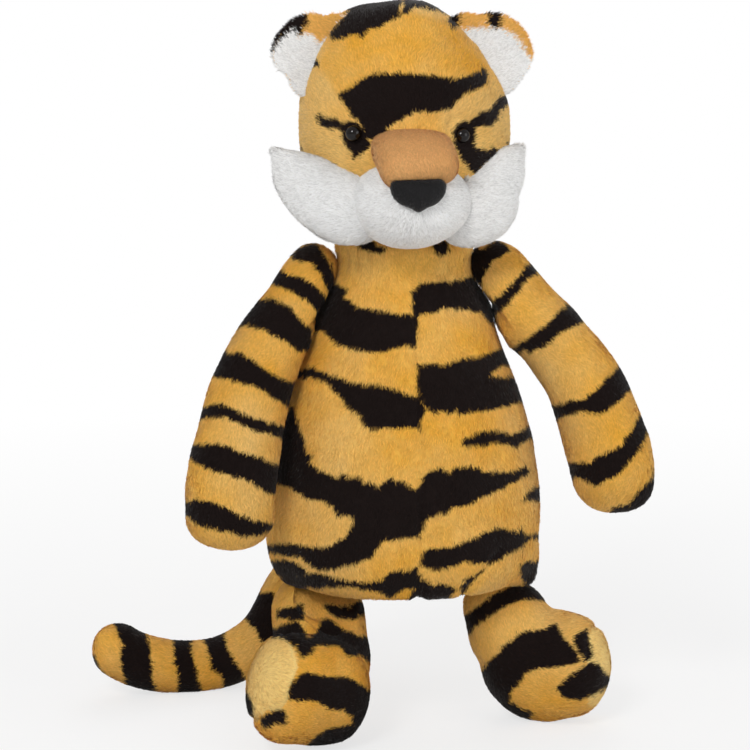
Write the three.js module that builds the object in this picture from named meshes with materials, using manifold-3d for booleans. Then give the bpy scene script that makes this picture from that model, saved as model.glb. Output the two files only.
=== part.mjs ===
// A plush tiger, 300 mm tall, that stands on its two feet and the bend of its tail.
// Millimetres, +Z up. It faces -Y, so its left side is +X. The origin is on the
// floor, at the middle of the space that it takes up.
import * as THREE from "three";
import { mergeVertices } from "three/addons/utils/BufferGeometryUtils.js";
import Module from "manifold-3d";

const wasm = await Module();
wasm.setup();

// Sizes that every piece shares

const gap = 0.35; // air between two pieces that touch when the toy is sewn
const wall = 2.4; // fur fabric with its pile pressed flat
const overrun = 20; // how far a cutter reaches past what it cuts
const weld = 0.0001; // points nearer than this are one point
const pressed = 0.5; // how deep the floor presses what stands on it

// The torso: a pear with a round neck stump, which the head turns on

const torso = { width: 117, depth: 94, height: 140, base: 60, forward: 3 };
const torsoOutlineShares = [
  [0, 0], [0.5, 0], [0.8, 0.01], [0.93, 0.06], [0.985, 0.12], [1, 0.2], [0.985, 0.34],
  [0.915, 0.5], [0.8, 0.66], [0.69, 0.77], [0.56, 0.88], [0.45, 0.96], [0.34, 1], [0, 1],
];
const neck = { radius: 21, drop: 10, hole: 10 };
const neckSeam = { outer: 21.6, tall: 1.6 };
const pellets = { width: 64, depth: 54, height: 24 };

// The head, which stands clear of the torso's top, and what is sewn to it. A rise is a height
// above the head's lowest point, and forward is how far in front of its middle a place lies.

const head = { width: 87, depth: 82, height: 97, lift: 6, forward: 2 };
const headOutlineShares = [
  [0, 0], [0.45, 0], [0.62, 0.04], [0.82, 0.13], [0.93, 0.25], [0.985, 0.37], [1, 0.5],
  [0.98, 0.65], [0.89, 0.77], [0.76, 0.875], [0.62, 0.95], [0.45, 0.99], [0.24, 1], [0, 1],
];
const muzzle = { width: 46, depth: 46, height: 35, forward: 34, rise: 20 };
const bridge = { width: 33, height: 20, rootForward: 22, rootRise: 41, tipForward: 56, tipRise: 32 };
const nose = { width: 22.5, height: 13.5, thick: 6, rise: 25, bevel: 1.6, lean: 14 };
const noseOutline = {
  browShare: 0.5, browMiddleShare: 0.62, sideOutShare: 1.02, sideShare: 0.1, tipOutShare: 0.25,
  tipShare: -0.38, tipMiddleShare: -0.6,
};
const cheek = { tall: 34, thick: 21, out: 55, tipRise: 35, tipForward: 14, chinRise: 15, chinForward: 31 };
const cheekRoute = { chinShare: 0.17, lowShare: 0.5, outerShare: 0.82, aheadShare: 1.5 };
const cheekTallShares = [0.62, 0.9, 1, 0.85, 0.3];
const cheekThickShares = [0.7, 0.95, 1, 0.85, 0.35];
const eye = { radius: 3.9, out: 22.5, rise: 46, stem: 1.5, stemLong: 8, stemClearance: 0.3 };
const washer = { radius: 5.4, thick: 1.5 };
const ear = { long: 40, tall: 31, thick: 8, rise: 75, sunk: 4.7, forward: 6, slope: 27, rootDrop: 9 };

// The arms. Each stop on a route is how far out, forward and down it lies from the shoulder's seat,
// and back is how many degrees the arm can swing back before the torso stops it.

const shoulder = { drop: 12.6, sunk: 2, tilt: 36, seat: 42, patch: 8.6, patchThick: 1.2 };
const arm = { root: 12, flat: 2.5, flatLong: 20, patchMouth: 4.3 };
const armFullShares = [0, 0.12, 0.3, 0.5, 0.7, 0.92, 1, 0.97];
const armDomeShares = [1, 0.8];
const armPoses = {
  left: {
    side: 1, pawAcross: 16, pawDeep: 19, back: 45,
    route: [[19, 2, 5.5], [33, 5, 21.5], [44.5, 8, 41.5], [53, 12, 62.5], [58, 15, 78.5], [60.5, 17, 94.5]],
  },
  right: {
    side: -1, pawAcross: 20, pawDeep: 17, back: 20,
    route: [[19.5, 4, 6.5], [33, 12, 23.5], [41, 20, 44.5], [44, 27, 63.5], [45, 31, 80.5], [45, 35, 104.5]],
  },
};

// The legs. An ankle is how far out and forward it stands from its hip, turnOut is how many degrees
// the foot points outward, and lift is how many it can swing up before the torso stops the leg.

const hip = { out: 39.5, drop: 12, radius: 17.5 };
const foot = { across: 20, tall: 24, soleUp: 30, ankle: 20, heelBack: 18, ahead: 35 };
const footAcrossShares = [0.86, 0.97, 1, 0.97, 0.86];
const footTallShares = [0.86, 1, 1, 0.92, 0.8];
const footDomeShares = [1, 0.45];
const legMouthShare = 0.33;
const legPoses = {
  left: { side: 1, ankle: [10.5, 3], turnOut: 69, lift: 60 },
  right: { side: -1, ankle: [-3.5, 33], turnOut: 55, lift: 30 },
};

// The tail. Its middle runs from the root by stops to the right, back and up from the floor.

const tail = { root: 10.5, thick: 13, out: 6, proud: 4, rise: 16 };
const tailRoute = [
  [16, 15, 70], [36, 16, 54], [54, 11, 31], [70, 5, 16], [89, 1, 12.5], [107, -2, 16], [121, -5, 26],
];
const tailFullShares = [0, 0.6, 1, 1, 1, 1, 0.8];
const tailMouthShare = 0.33;

// How many faces each form is given

const torsoFacets = { sides: 20, rings: 12, neck: 24 };
const headFacets = { sides: 20, rings: 12, neck: 24 };
const insideFacets = { sides: 12, rings: 7, neck: 12 };
const limbFacets = { sides: 12, rings: 10 };
const legFacets = { sides: 12, rings: 8 };
const fillFacets = { sides: 8, rings: 6 };
const tailFacets = { sides: 12, rings: 18 };
const tailFillFacets = { sides: 8, rings: 12 };
const bridgeFacets = { sides: 16, rings: 8 };
const cheekFacets = { sides: 12, rings: 9 };
const jointFacets = 14;
const muzzleSides = 18;
const earSides = 20;
const earRootSides = 10;
const stemSides = 8;
const mouthSides = 8;
const seamSides = 20;

// Fabric and fill colours

const cloth = (color, roughness = 0.95) => new THREE.MeshStandardMaterial({ color, roughness, metalness: 0 });
const goldFur = cloth(0xd9a046);
const whiteFur = cloth(0xeceae6);
const tanFur = cloth(0xc88f52);
const blackVelvet = cloth(0x16120f, 0.8);
const fibreFill = cloth(0xf4f2ec, 1);
const pelletCloth = cloth(0xd8d4ca, 0.9);
const threadYarn = cloth(0x2a211a, 0.8);
const eyePlastic = cloth(0x080808, 0.12);
const washerPlastic = cloth(0xf0f0ee, 0.45);

const radians = THREE.MathUtils.degToRad;
const vec = (x, y, z) => new THREE.Vector3(x, y, z);

// Solids from three.js geometry and back

function solid(geometry) {
  const plain = geometry.clone();
  for (const name of Object.keys(plain.attributes)) {
    if (name !== "position") plain.deleteAttribute(name);
  }
  const merged = mergeVertices(plain, weld);
  const vertProperties = merged.attributes.position.array;
  const triVerts = new Uint32Array(merged.index.array);
  const made = new wasm.Manifold(new wasm.Mesh({ numProp: 3, vertProperties, triVerts }));
  if (made.volume() > 0) return made;
  for (let i = 0; i < triVerts.length; i += 3) {
    [triVerts[i], triVerts[i + 1]] = [triVerts[i + 1], triVerts[i]];
  }
  return new wasm.Manifold(new wasm.Mesh({ numProp: 3, vertProperties, triVerts }));
}

function geometryOf(manifold) {
  const { vertProperties, triVerts } = manifold.getMesh();
  const geometry = new THREE.BufferGeometry();
  geometry.setAttribute("position", new THREE.BufferAttribute(new Float32Array(vertProperties), 3));
  geometry.setIndex(new THREE.BufferAttribute(new Uint32Array(triVerts), 1));
  geometry.computeVertexNormals();
  return geometry;
}

// A named piece whose own origin is the point that it turns about.
function piece(name, manifold, material, pivot = vec(0, 0, 0)) {
  const geometry = geometryOf(manifold).translate(-pivot.x, -pivot.y, -pivot.z);
  const mesh = new THREE.Mesh(geometry, material);
  mesh.name = name;
  mesh.position.copy(pivot);
  return mesh;
}

// Plain shapes

function ball(radius, centre, sides = jointFacets) {
  const geometry = new THREE.SphereGeometry(radius, sides, Math.round(sides / 2));
  return solid(geometry.translate(centre.x, centre.y, centre.z));
}

// A ball whose flat faces clear the given radius, so that a round joint can turn in it.
function socket(radius, centre, sides = jointFacets) {
  return ball(radius / Math.cos(Math.PI / sides) ** 2, centre, sides);
}

function egg(half, centre, sides = jointFacets) {
  const geometry = new THREE.SphereGeometry(1, sides, Math.round(sides / 2)).rotateX(Math.PI / 2);
  return solid(geometry.scale(half.x, half.y, half.z).translate(centre.x, centre.y, centre.z));
}

function rod(start, end, radius, sides = 16) {
  const geometry = new THREE.CylinderGeometry(radius, radius, start.distanceTo(end), sides);
  const along = new THREE.Quaternion().setFromUnitVectors(vec(0, 1, 0), end.clone().sub(start).normalize());
  const middle = start.clone().lerp(end, 0.5);
  return solid(geometry.applyQuaternion(along).translate(middle.x, middle.y, middle.z));
}

function slab(size, centre, turn = new THREE.Quaternion()) {
  const geometry = new THREE.BoxGeometry(size.x, size.y, size.z).applyQuaternion(turn);
  return solid(geometry.translate(centre.x, centre.y, centre.z));
}

// A closed skin through rings of points, with a fan over each end.
function loft(rings) {
  const sides = rings[0].length;
  const points = rings.flat();
  const faces = [];
  for (let r = 0; r + 1 < rings.length; r++) {
    for (let s = 0; s < sides; s++) {
      const a = r * sides + s;
      const b = r * sides + ((s + 1) % sides);
      faces.push(a, b, b + sides, a, b + sides, a + sides);
    }
  }
  const closeEnd = (ring, first, flip) => {
    const middle = ring.reduce((sum, p) => sum.add(p), vec(0, 0, 0)).divideScalar(sides);
    const at = points.push(middle) - 1;
    for (let s = 0; s < sides; s++) {
      const a = first + s;
      const b = first + ((s + 1) % sides);
      faces.push(...(flip ? [at, b, a] : [at, a, b]));
    }
  };
  closeEnd(rings[0], 0, true);
  closeEnd(rings.at(-1), (rings.length - 1) * sides, false);
  const geometry = new THREE.BufferGeometry().setFromPoints(points);
  geometry.setIndex(faces);
  return solid(geometry);
}

function oval(centre, across, deep, sides) {
  return Array.from({ length: sides }, (_, i) => {
    const turn = (i * 2 * Math.PI) / sides;
    return centre.clone().addScaledVector(across, Math.cos(turn)).addScaledVector(deep, Math.sin(turn));
  });
}

// A stuffed form of level ovals inside an outline. It is taken in by inset all round.
function pear(form, outlineShares, inset, { sides, rings }) {
  const halfWidth = form.width / 2 - inset;
  const halfDepth = form.depth / 2 - inset;
  const outline = new THREE.SplineCurve(outlineShares.map(([w, h]) => new THREE.Vector2(w, h)));
  const levels = [];
  for (let i = 1; i < rings; i++) {
    const at = outline.getPoint(i / rings);
    const level = form.base + inset + Math.max(0, Math.min(1, at.y)) * (form.height - 2 * inset);
    const centre = vec(0, -form.forward, level);
    levels.push(oval(centre, vec(halfWidth * at.x, 0, 0), vec(0, halfDepth * at.x, 0), sides));
  }
  return loft(levels);
}

// A value that runs smoothly through a list of shares spread evenly along a piece.
function through(shares, t) {
  const last = shares.length - 1;
  const curve = new THREE.SplineCurve(shares.map((value, i) => new THREE.Vector2(i / last, value)));
  return curve.getPoint(t).y;
}

// A stuffed limb along a line with a domed end at each end. halfAcross and halfDeep give its half
// sizes at t, and domes says how long each dome is, as a share of a half ball.
function limb(line, halfAcross, halfDeep, acrossHint, { sides, rings }, domes = [1, 1]) {
  const long = line.getLength();
  const stations = [];
  for (let i = 0; i <= rings; i++) {
    const t = (1 - Math.cos((Math.PI * (i + 0.5)) / (rings + 1))) / 2;
    const along = line.getTangentAt(t);
    const deepWay = along.clone().cross(acrossHint).normalize();
    const acrossWay = deepWay.clone().cross(along).normalize();
    const reach = Math.min(halfAcross(t), halfDeep(t)) * (t < 0.5 ? domes[0] : domes[1]);
    const fromEnd = Math.min(t, 1 - t) * long;
    const round = fromEnd < reach ? Math.sqrt(1 - (1 - fromEnd / reach) ** 2) : 1;
    const across = acrossWay.multiplyScalar(halfAcross(t) * round);
    stations.push(oval(line.getPointAt(t), across, deepWay.multiplyScalar(halfDeep(t) * round), sides));
  }
  return loft(stations);
}

// The same line with a length taken off each end.
function shortened(line, off) {
  if (off === 0) return line;
  const share = off / line.getLength();
  const count = 12;
  const points = [];
  for (let i = 0; i <= count; i++) {
    points.push(line.getPointAt(share + (1 - 2 * share) * (i / count)));
  }
  return new THREE.CatmullRomCurve3(points);
}

// The same solid turned by degrees about an axis through a point.
function turnedAbout(manifold, point, axis, degrees) {
  const turn = new THREE.Matrix4().makeRotationAxis(axis, radians(degrees));
  const away = new THREE.Matrix4().makeTranslation(point);
  const toOrigin = new THREE.Matrix4().makeTranslation(point.clone().negate());
  return manifold.transform(away.multiply(turn).multiply(toOrigin).elements);
}

// Places that more than one piece needs

const torsoTop = torso.base + torso.height;
const headBase = torsoTop + head.lift;
const headShape = { ...head, base: headBase };
const neckPivot = vec(0, -head.forward, torsoTop - neck.drop);
const hipOf = (side) => vec(side * hip.out, -torso.forward, torso.base - hip.drop);
const floor = slab(vec(overrun * 20, overrun * 20, overrun * 10), vec(0, 0, -overrun * 5));

// The torso's form grown by its gap, which cuts whatever is sewn against it.
function roundTorso(inset) {
  return pear(torso, torsoOutlineShares, -gap - inset, torsoFacets);
}

// The share of its half width that a form has at a height, by halving the stretch that holds it.
function shareAt(form, outlineShares, level) {
  const outline = new THREE.SplineCurve(outlineShares.map(([w, h]) => new THREE.Vector2(w, h)));
  const wanted = (level - form.base) / form.height;
  let low = 0;
  let high = 1;
  for (let i = 0; i < 24; i++) {
    const mid = (low + high) / 2;
    if (outline.getPoint(mid).y < wanted) low = mid;
    else high = mid;
  }
  return outline.getPoint(low).x;
}

// The way that a shoulder faces, and the middle of its flat seat.
function shoulderSeat(side) {
  const tilt = radians(shoulder.tilt);
  const level = torsoTop - shoulder.drop;
  const reach = (torso.width / 2) * shareAt(torso, torsoOutlineShares, level) - shoulder.sunk;
  const out = vec(side * Math.cos(tilt), 0, Math.sin(tilt));
  const turn = new THREE.Quaternion().setFromUnitVectors(vec(1, 0, 0), out);
  return { out, turn, seat: vec(side * reach, -torso.forward, level) };
}

function tailRootPlace() {
  const level = torso.base + tail.rise;
  const back = (torso.depth / 2) * shareAt(torso, torsoOutlineShares, level) - torso.forward;
  return vec(-tail.out, back + tail.proud, level);
}

const tailRoot = tailRootPlace();

// Torso

function torsoSockets(grow) {
  const hips = [1, -1].map((side) => socket(hip.radius + gap + grow, hipOf(side)));
  return hips[0].add(hips[1]).add(socket(tail.root + gap + grow, tailRoot));
}

function shoulderCuts(grow) {
  return [1, -1].map((side) => {
    const { out, seat } = shoulderSeat(side);
    const start = seat.clone().addScaledVector(out, -grow);
    return rod(start, start.clone().addScaledVector(out, overrun * 2), shoulder.seat + grow);
  });
}

// The torso's form with its neck stump and every seat cut into it, taken in by inset.
function torsoForm(inset, facets) {
  const stump = ball(neck.radius - inset, neckPivot, facets.neck);
  const [left, right] = shoulderCuts(inset);
  const form = pear(torso, torsoOutlineShares, inset, facets).add(stump);
  return form.subtract(left).subtract(right).subtract(torsoSockets(inset));
}

function neckHole(radius) {
  return rod(neckPivot, neckPivot.clone().setZ(torsoTop + neck.radius + overrun), radius);
}

function pelletPouch(grow) {
  const half = vec(pellets.width / 2 + grow, pellets.depth / 2 + grow, pellets.height / 2 + grow);
  const centre = vec(0, -torso.forward, torso.base + wall + gap + pellets.height / 2);
  return egg(half, centre).subtract(torsoSockets(wall + 2 * gap - grow));
}

function makeTorso() {
  const inside = torsoForm(wall, insideFacets);
  const shell = torsoForm(0, torsoFacets).subtract(inside).subtract(neckHole(neck.hole));
  const fill = torsoForm(wall + gap, insideFacets);
  return [
    piece("torso_cover", shell, goldFur),
    piece("torso_stuffing", fill.subtract(pelletPouch(gap)), fibreFill),
    piece("pellet_pouch", pelletPouch(0).intersect(fill), pelletCloth),
  ];
}

// Neck seam: the ring of gathered fabric and thread that the head is sewn on with

function makeNeckSeam() {
  const base = neckPivot.clone().setZ(torsoTop + gap);
  const ring = rod(base, base.clone().setZ(base.z + neckSeam.tall), neckSeam.outer, seamSides);
  const room = socket(neck.radius + gap, neckPivot, seamSides);
  return piece("neck_seam", ring.subtract(room), threadYarn, neckPivot);
}

// Head

function earFrame(side) {
  const slope = radians(ear.slope);
  const out = vec(side * Math.cos(slope), 0, Math.sin(slope));
  const down = vec(side * Math.sin(slope), 0, -Math.cos(slope));
  const basis = new THREE.Matrix4().makeBasis(down, out.clone().cross(down), out);
  const turn = new THREE.Quaternion().setFromRotationMatrix(basis);
  const level = headBase + ear.rise;
  const reach = (head.width / 2) * shareAt(headShape, headOutlineShares, level) - ear.sunk;
  return { turn, root: vec(side * reach, -head.forward - ear.forward, level) };
}

function earSeat(side, grow) {
  const { turn, root } = earFrame(side);
  const size = vec(ear.long + 2 * gap + 2 * grow, ear.thick + 4 * gap + 2 * grow, overrun + grow);
  const lift = vec(0, 0, overrun / 2 - ear.thick / 2 - gap - grow / 2).applyQuaternion(turn);
  return slab(size, root.clone().add(lift), turn);
}

function eyeFrame(side) {
  const share = shareAt(headShape, headOutlineShares, headBase + eye.rise);
  const halfWidth = (head.width / 2) * share;
  const halfDepth = (head.depth / 2) * share;
  const deep = -halfDepth * Math.sqrt(1 - (eye.out / halfWidth) ** 2);
  const out = vec((side * eye.out) / halfWidth ** 2, deep / halfDepth ** 2, 0).normalize();
  const place = vec(side * eye.out, deep - head.forward, headBase + eye.rise);
  return { out, seat: place.addScaledVector(out, -2 * gap) };
}

function headForm(inset, facets) {
  let form = pear(headShape, headOutlineShares, inset, facets);
  for (const side of [1, -1]) {
    const { out, seat } = eyeFrame(side);
    const flat = seat.clone().addScaledVector(out, -inset);
    form = form
      .subtract(rod(flat, flat.clone().addScaledVector(out, overrun), eye.radius + 2 * gap + inset))
      .subtract(earSeat(side, inset));
  }
  return form.subtract(socket(neck.radius + gap + inset, neckPivot, facets.neck));
}

function eyeStemHole(side, radius) {
  const { out, seat } = eyeFrame(side);
  const end = seat.clone().addScaledVector(out, -eye.stemLong - gap);
  return rod(end, seat.clone().addScaledVector(out, overrun), radius);
}

// The washer's disc behind the fabric. Grown and reaching ahead, it cuts the disc's pocket.
function washerDisc(side, grow, ahead) {
  const { out, seat } = eyeFrame(side);
  const back = seat.clone().addScaledVector(out, -wall - 2 * gap - washer.thick - grow);
  return rod(back, back.clone().addScaledVector(out, washer.thick + grow + ahead), washer.radius + grow);
}

function makeHead() {
  let shell = headForm(0, headFacets).subtract(headForm(wall, insideFacets));
  let fill = headForm(wall + gap, insideFacets);
  const pieces = [];
  for (const side of [1, -1]) {
    const name = side > 0 ? "left" : "right";
    const { out, seat } = eyeFrame(side);
    const stemHole = eyeStemHole(side, eye.stem + eye.stemClearance);
    shell = shell.subtract(stemHole).subtract(washerDisc(side, gap, 0));
    fill = fill.subtract(stemHole).subtract(washerDisc(side, gap, wall));
    const dome = ball(eye.radius, seat.clone().addScaledVector(out, gap));
    const flat = seat.clone().addScaledVector(out, gap);
    const behind = rod(seat.clone().addScaledVector(out, -overrun), flat, eye.radius * 2, stemSides);
    const stemEnd = seat.clone().addScaledVector(out, -eye.stemLong);
    const stem = rod(stemEnd, seat.clone().addScaledVector(out, eye.stem), eye.stem, stemSides);
    pieces.push(piece(`eye_${name}`, dome.subtract(behind).add(stem), eyePlastic, neckPivot));
    const disc = washerDisc(side, 0, 0).subtract(stemHole);
    pieces.push(piece(`eye_washer_${name}`, disc, washerPlastic, neckPivot));
  }
  const hole = rod(neckPivot, neckPivot.clone().setZ(headBase + wall + overrun), neck.hole);
  pieces.push(piece("head_cover", shell.subtract(hole), goldFur, neckPivot));
  pieces.push(piece("head_stuffing", fill, fibreFill, neckPivot));
  return pieces;
}

// Face: muzzle, bridge, nose and the two cheek ruffs, each cut by the one that it is sewn over

function muzzleForm(grow) {
  const half = vec(muzzle.width / 2 + grow, muzzle.depth / 2 + grow, muzzle.height / 2 + grow);
  return egg(half, vec(0, -head.forward - muzzle.forward, headBase + muzzle.rise), muzzleSides);
}

function bridgeForm(grow) {
  const line = new THREE.LineCurve3(
    vec(0, -head.forward - bridge.rootForward, headBase + bridge.rootRise),
    vec(0, -head.forward - bridge.tipForward, headBase + bridge.tipRise));
  const across = () => bridge.width / 2 + grow;
  const deep = () => bridge.height / 2 + grow;
  return limb(line, across, deep, vec(1, 0, 0), bridgeFacets);
}

function noseForm() {
  const half = nose.width / 2 - nose.bevel;
  const tall = nose.height - 2 * nose.bevel;
  const brow = tall * noseOutline.browShare;
  const side = [half * noseOutline.sideOutShare, tall * noseOutline.sideShare];
  const tip = [half * noseOutline.tipOutShare, tall * noseOutline.tipShare];
  const outline = new THREE.Shape();
  outline.moveTo(-half, brow);
  outline.quadraticCurveTo(0, tall * noseOutline.browMiddleShare, half, brow);
  outline.quadraticCurveTo(side[0], side[1], tip[0], tip[1]);
  outline.quadraticCurveTo(0, tall * noseOutline.tipMiddleShare, -tip[0], tip[1]);
  outline.quadraticCurveTo(-side[0], side[1], -half, brow);
  const settings = {
    depth: nose.thick, bevelThickness: nose.bevel, bevelSize: nose.bevel, bevelSegments: 2, curveSegments: 4,
  };
  const geometry = new THREE.ExtrudeGeometry(outline, settings);
  const front = -head.forward - muzzle.forward - muzzle.depth / 2 - nose.thick / 2;
  geometry.rotateX(Math.PI / 2 - radians(nose.lean));
  return solid(geometry.translate(0, front + nose.thick, headBase + nose.rise));
}

function cheekForm(side) {
  const chinLevel = headBase + cheek.chinRise;
  const tipLevel = headBase + cheek.tipRise;
  const front = -head.forward - cheek.chinForward;
  const chin = vec(side * cheek.out * cheekRoute.chinShare, front, chinLevel);
  const low = vec(side * cheek.out * cheekRoute.lowShare, front, chinLevel);
  const outerFront = -head.forward - cheek.tipForward * cheekRoute.aheadShare;
  const outer = vec(side * cheek.out * cheekRoute.outerShare, outerFront, (chinLevel + tipLevel) / 2);
  const tip = vec(side * cheek.out, -head.forward - cheek.tipForward, tipLevel);
  const line = new THREE.CatmullRomCurve3([chin, low, outer, tip]);
  const tall = (t) => (cheek.tall / 2) * through(cheekTallShares, t);
  const thick = (t) => (cheek.thick / 2) * through(cheekThickShares, t);
  return limb(line, thick, tall, vec(0, 1, 0), cheekFacets);
}

function makeFace() {
  const grownHead = pear(headShape, headOutlineShares, -gap, headFacets);
  const neckRoom = socket(neck.radius + gap, neckPivot);
  const snout = bridgeForm(0).subtract(grownHead);
  const lips = muzzleForm(0).subtract(grownHead).subtract(bridgeForm(gap));
  const noseSolid = noseForm().subtract(muzzleForm(gap)).subtract(bridgeForm(gap)).subtract(grownHead);
  const ruffs = [1, -1].map((side) => {
    const name = side > 0 ? "left" : "right";
    const outside = cheekForm(side).subtract(grownHead).subtract(neckRoom);
    const ruff = outside.subtract(muzzleForm(gap)).subtract(bridgeForm(gap));
    return piece(`cheek_ruff_${name}`, largest(ruff), whiteFur, neckPivot);
  });
  return [
    piece("snout_bridge", largest(snout), tanFur, neckPivot),
    piece("muzzle", largest(lips), whiteFur, neckPivot),
    piece("nose", largest(noseSolid), blackVelvet, neckPivot),
    ...ruffs,
  ];
}

// The main body of a cut, without the slivers that the cut leaves behind.
function largest(manifold) {
  return manifold.decompose().reduce((best, part) => (part.volume() > best.volume() ? part : best));
}

// Ears: a fur back and a white lining, sewn into the head along one straight root

function makeEar(side) {
  const name = side > 0 ? "left" : "right";
  const { turn, root } = earFrame(side);
  const halfEar = vec(ear.long / 2, ear.thick / 2, ear.tall / 2);
  const flap = egg(halfEar, vec(0, 0, ear.tall / 2 - ear.rootDrop), earSides);
  const above = slab(vec(ear.long * 2, ear.thick * 2, ear.tall), vec(0, 0, ear.tall / 2));
  const roundRoot = rod(vec(-ear.long, 0, 0), vec(ear.long, 0, 0), ear.thick / 2, earRootSides);
  const whole = flap.intersect(above.add(roundRoot));
  const half = (way) => slab(
    vec(ear.long * 2, ear.thick, ear.tall * 2), vec(0, way * (ear.thick / 2 + gap / 2), 0));
  const frontWay = vec(0, 1, 0).applyQuaternion(turn).y < 0 ? 1 : -1;
  const group = new THREE.Group();
  group.position.copy(root);
  group.quaternion.copy(turn);
  group.add(piece(`ear_lining_${name}`, whole.intersect(half(frontWay)), whiteFur));
  group.add(piece(`ear_back_${name}`, whole.intersect(half(-frontWay)), goldFur));
  return group;
}

// Arms: each hangs from a round patch that is sewn flat on the shoulder

// A block that keeps what lies further out than a distance from the shoulder's seat.
function beyondSeat(side, distance) {
  const { out, seat, turn } = shoulderSeat(side);
  const half = overrun * 10;
  return slab(vec(half * 2, half * 2, half * 2), seat.clone().addScaledVector(out, distance + half), turn);
}

// The torso's form grown by its gap, where it lies beside a limb at rest, halfway through its swing
// and at the end of it.
function torsoRoom(inset, pivot, axis, degrees) {
  const atRest = roundTorso(inset);
  const halfway = turnedAbout(atRest, pivot, axis, degrees / 2);
  return atRest.add(halfway).add(turnedAbout(atRest, pivot, axis, degrees));
}

function makeArm(name) {
  const pose = armPoses[name];
  const { out, seat } = shoulderSeat(pose.side);
  const face = 2 * gap + shoulder.patchThick;
  const rootMiddle = seat.clone().addScaledVector(out, face + arm.root - arm.flat);
  const upSeat = vec(-out.z * pose.side, 0, Math.abs(out.x));
  const top = rootMiddle.clone().addScaledVector(upSeat, arm.root);
  const stops = pose.route.map(([wide, ahead, down]) => vec(pose.side * wide, -ahead, -down).add(seat));
  const line = new THREE.CatmullRomCurve3([top, rootMiddle, ...stops]);
  const armForm = (inset, facets) => {
    const across = (t) => arm.root + (pose.pawAcross - arm.root) * through(armFullShares, t) - inset;
    const deep = (t) => arm.root + (pose.pawDeep - arm.root) * through(armFullShares, t) - inset;
    const whole = limb(shortened(line, inset), across, deep, vec(1, 0, 0), facets, armDomeShares);
    const belowSeat = floor.translate([0, 0, rootMiddle.z - arm.flatLong]);
    const room = torsoRoom(inset, seat, out.clone().multiplyScalar(pose.side), -pose.back);
    return whole.intersect(beyondSeat(pose.side, face + inset).add(belowSeat)).subtract(room);
  };
  const mouth = rod(seat, rootMiddle, arm.patchMouth);
  const shell = armForm(0, limbFacets).subtract(armForm(wall, fillFacets)).subtract(mouth);
  const patchStart = seat.clone().addScaledVector(out, gap);
  const patch = rod(patchStart, patchStart.clone().addScaledVector(out, shoulder.patchThick), shoulder.patch);
  return [
    piece(`shoulder_patch_${name}`, patch, threadYarn, seat),
    piece(`arm_cover_${name}`, shell, goldFur, seat),
    piece(`arm_stuffing_${name}`, armForm(wall + gap, fillFacets), fibreFill, seat),
  ];
}

// Legs: a short column under the torso that bends out into a foot with an oval sole

function makeLeg(name) {
  const pose = legPoses[name];
  const pivot = hipOf(pose.side);
  const turn = radians(pose.turnOut);
  const ahead = vec(pose.side * Math.sin(turn), -Math.cos(turn), 0);
  const level = foot.tall - pressed;
  const ankle = pivot.clone().add(vec(pose.side * pose.ankle[0], -pose.ankle[1], 0)).setZ(level);
  const heelEnd = ankle.clone().addScaledVector(ahead, -foot.heelBack);
  const soleEnd = ankle.clone().addScaledVector(ahead, foot.ahead).setZ(foot.soleUp);
  const footLine = new THREE.CatmullRomCurve3([heelEnd, ankle, ankle.clone().lerp(soleEnd, 0.5), soleEnd]);
  const legForm = (inset, facets) => {
    const columnEnd = ankle.clone().setZ(foot.ankle);
    const columnRoot = hip.radius - gap;
    const columnWay = columnEnd.clone().sub(pivot).normalize();
    const columnTop = pivot.clone().addScaledVector(columnWay, inset - columnRoot);
    const columnLine = new THREE.LineCurve3(columnTop, columnEnd);
    const columnRadius = (t) => columnRoot + (foot.ankle - columnRoot) * t - inset;
    const column = limb(columnLine, columnRadius, columnRadius, vec(1, 0, 0), facets);
    const across = (t) => foot.across * through(footAcrossShares, t) - inset;
    const tall = (t) => foot.tall * through(footTallShares, t) - inset;
    const sideways = vec(-ahead.y, ahead.x, 0);
    const sole = limb(shortened(footLine, inset), across, tall, sideways, facets, footDomeShares);
    const joint = ball(hip.radius + gap - inset, pivot);
    const room = torsoRoom(inset, pivot, vec(1, 0, 0), pose.lift).subtract(joint);
    const whole = column.add(sole).subtract(room).add(ball(hip.radius - inset, pivot, facets.sides));
    return whole.subtract(floor.translate([0, 0, inset]));
  };
  const mouthTop = pivot.clone().setZ(pivot.z + hip.radius + overrun);
  const mouth = rod(pivot, mouthTop, hip.radius * legMouthShare, mouthSides);
  const shell = legForm(0, legFacets).subtract(legForm(wall, fillFacets)).subtract(mouth);
  return [
    piece(`leg_cover_${name}`, shell, goldFur, pivot),
    piece(`leg_stuffing_${name}`, legForm(wall + gap, fillFacets), fibreFill, pivot),
  ];
}

// Tail: a stuffed tube that hangs from the seat and bends round on the floor

function makeTail() {
  const route = tailRoute.map(([right, back, up]) => vec(tailRoot.x - right, tailRoot.y + back, up));
  const line = new THREE.CatmullRomCurve3([tailRoot.clone(), ...route]);
  const tailForm = (inset, facets) => {
    const radius = (t) => tail.root + (tail.thick - tail.root) * through(tailFullShares, t) - inset;
    const tube = limb(shortened(line, inset), radius, radius, vec(0, 0, 1), facets);
    const room = roundTorso(inset).subtract(ball(tail.root + gap - inset, tailRoot));
    const rooted = tube.subtract(room).add(ball(tail.root - inset, tailRoot, tailFacets.sides));
    return rooted.subtract(floor.translate([0, 0, inset]));
  };
  const mouthFront = tailRoot.clone().setY(tailRoot.y - tail.root - overrun);
  const mouth = rod(tailRoot, mouthFront, tail.root * tailMouthShare, mouthSides);
  const shell = tailForm(0, tailFacets).subtract(tailForm(wall, tailFillFacets)).subtract(mouth);
  return [
    piece("tail_cover", shell, goldFur, tailRoot),
    piece("tail_stuffing", tailForm(wall + gap, tailFillFacets), fibreFill, tailRoot),
  ];
}

// Assembly: moved so that the origin is on the floor at the middle of the footprint

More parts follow.
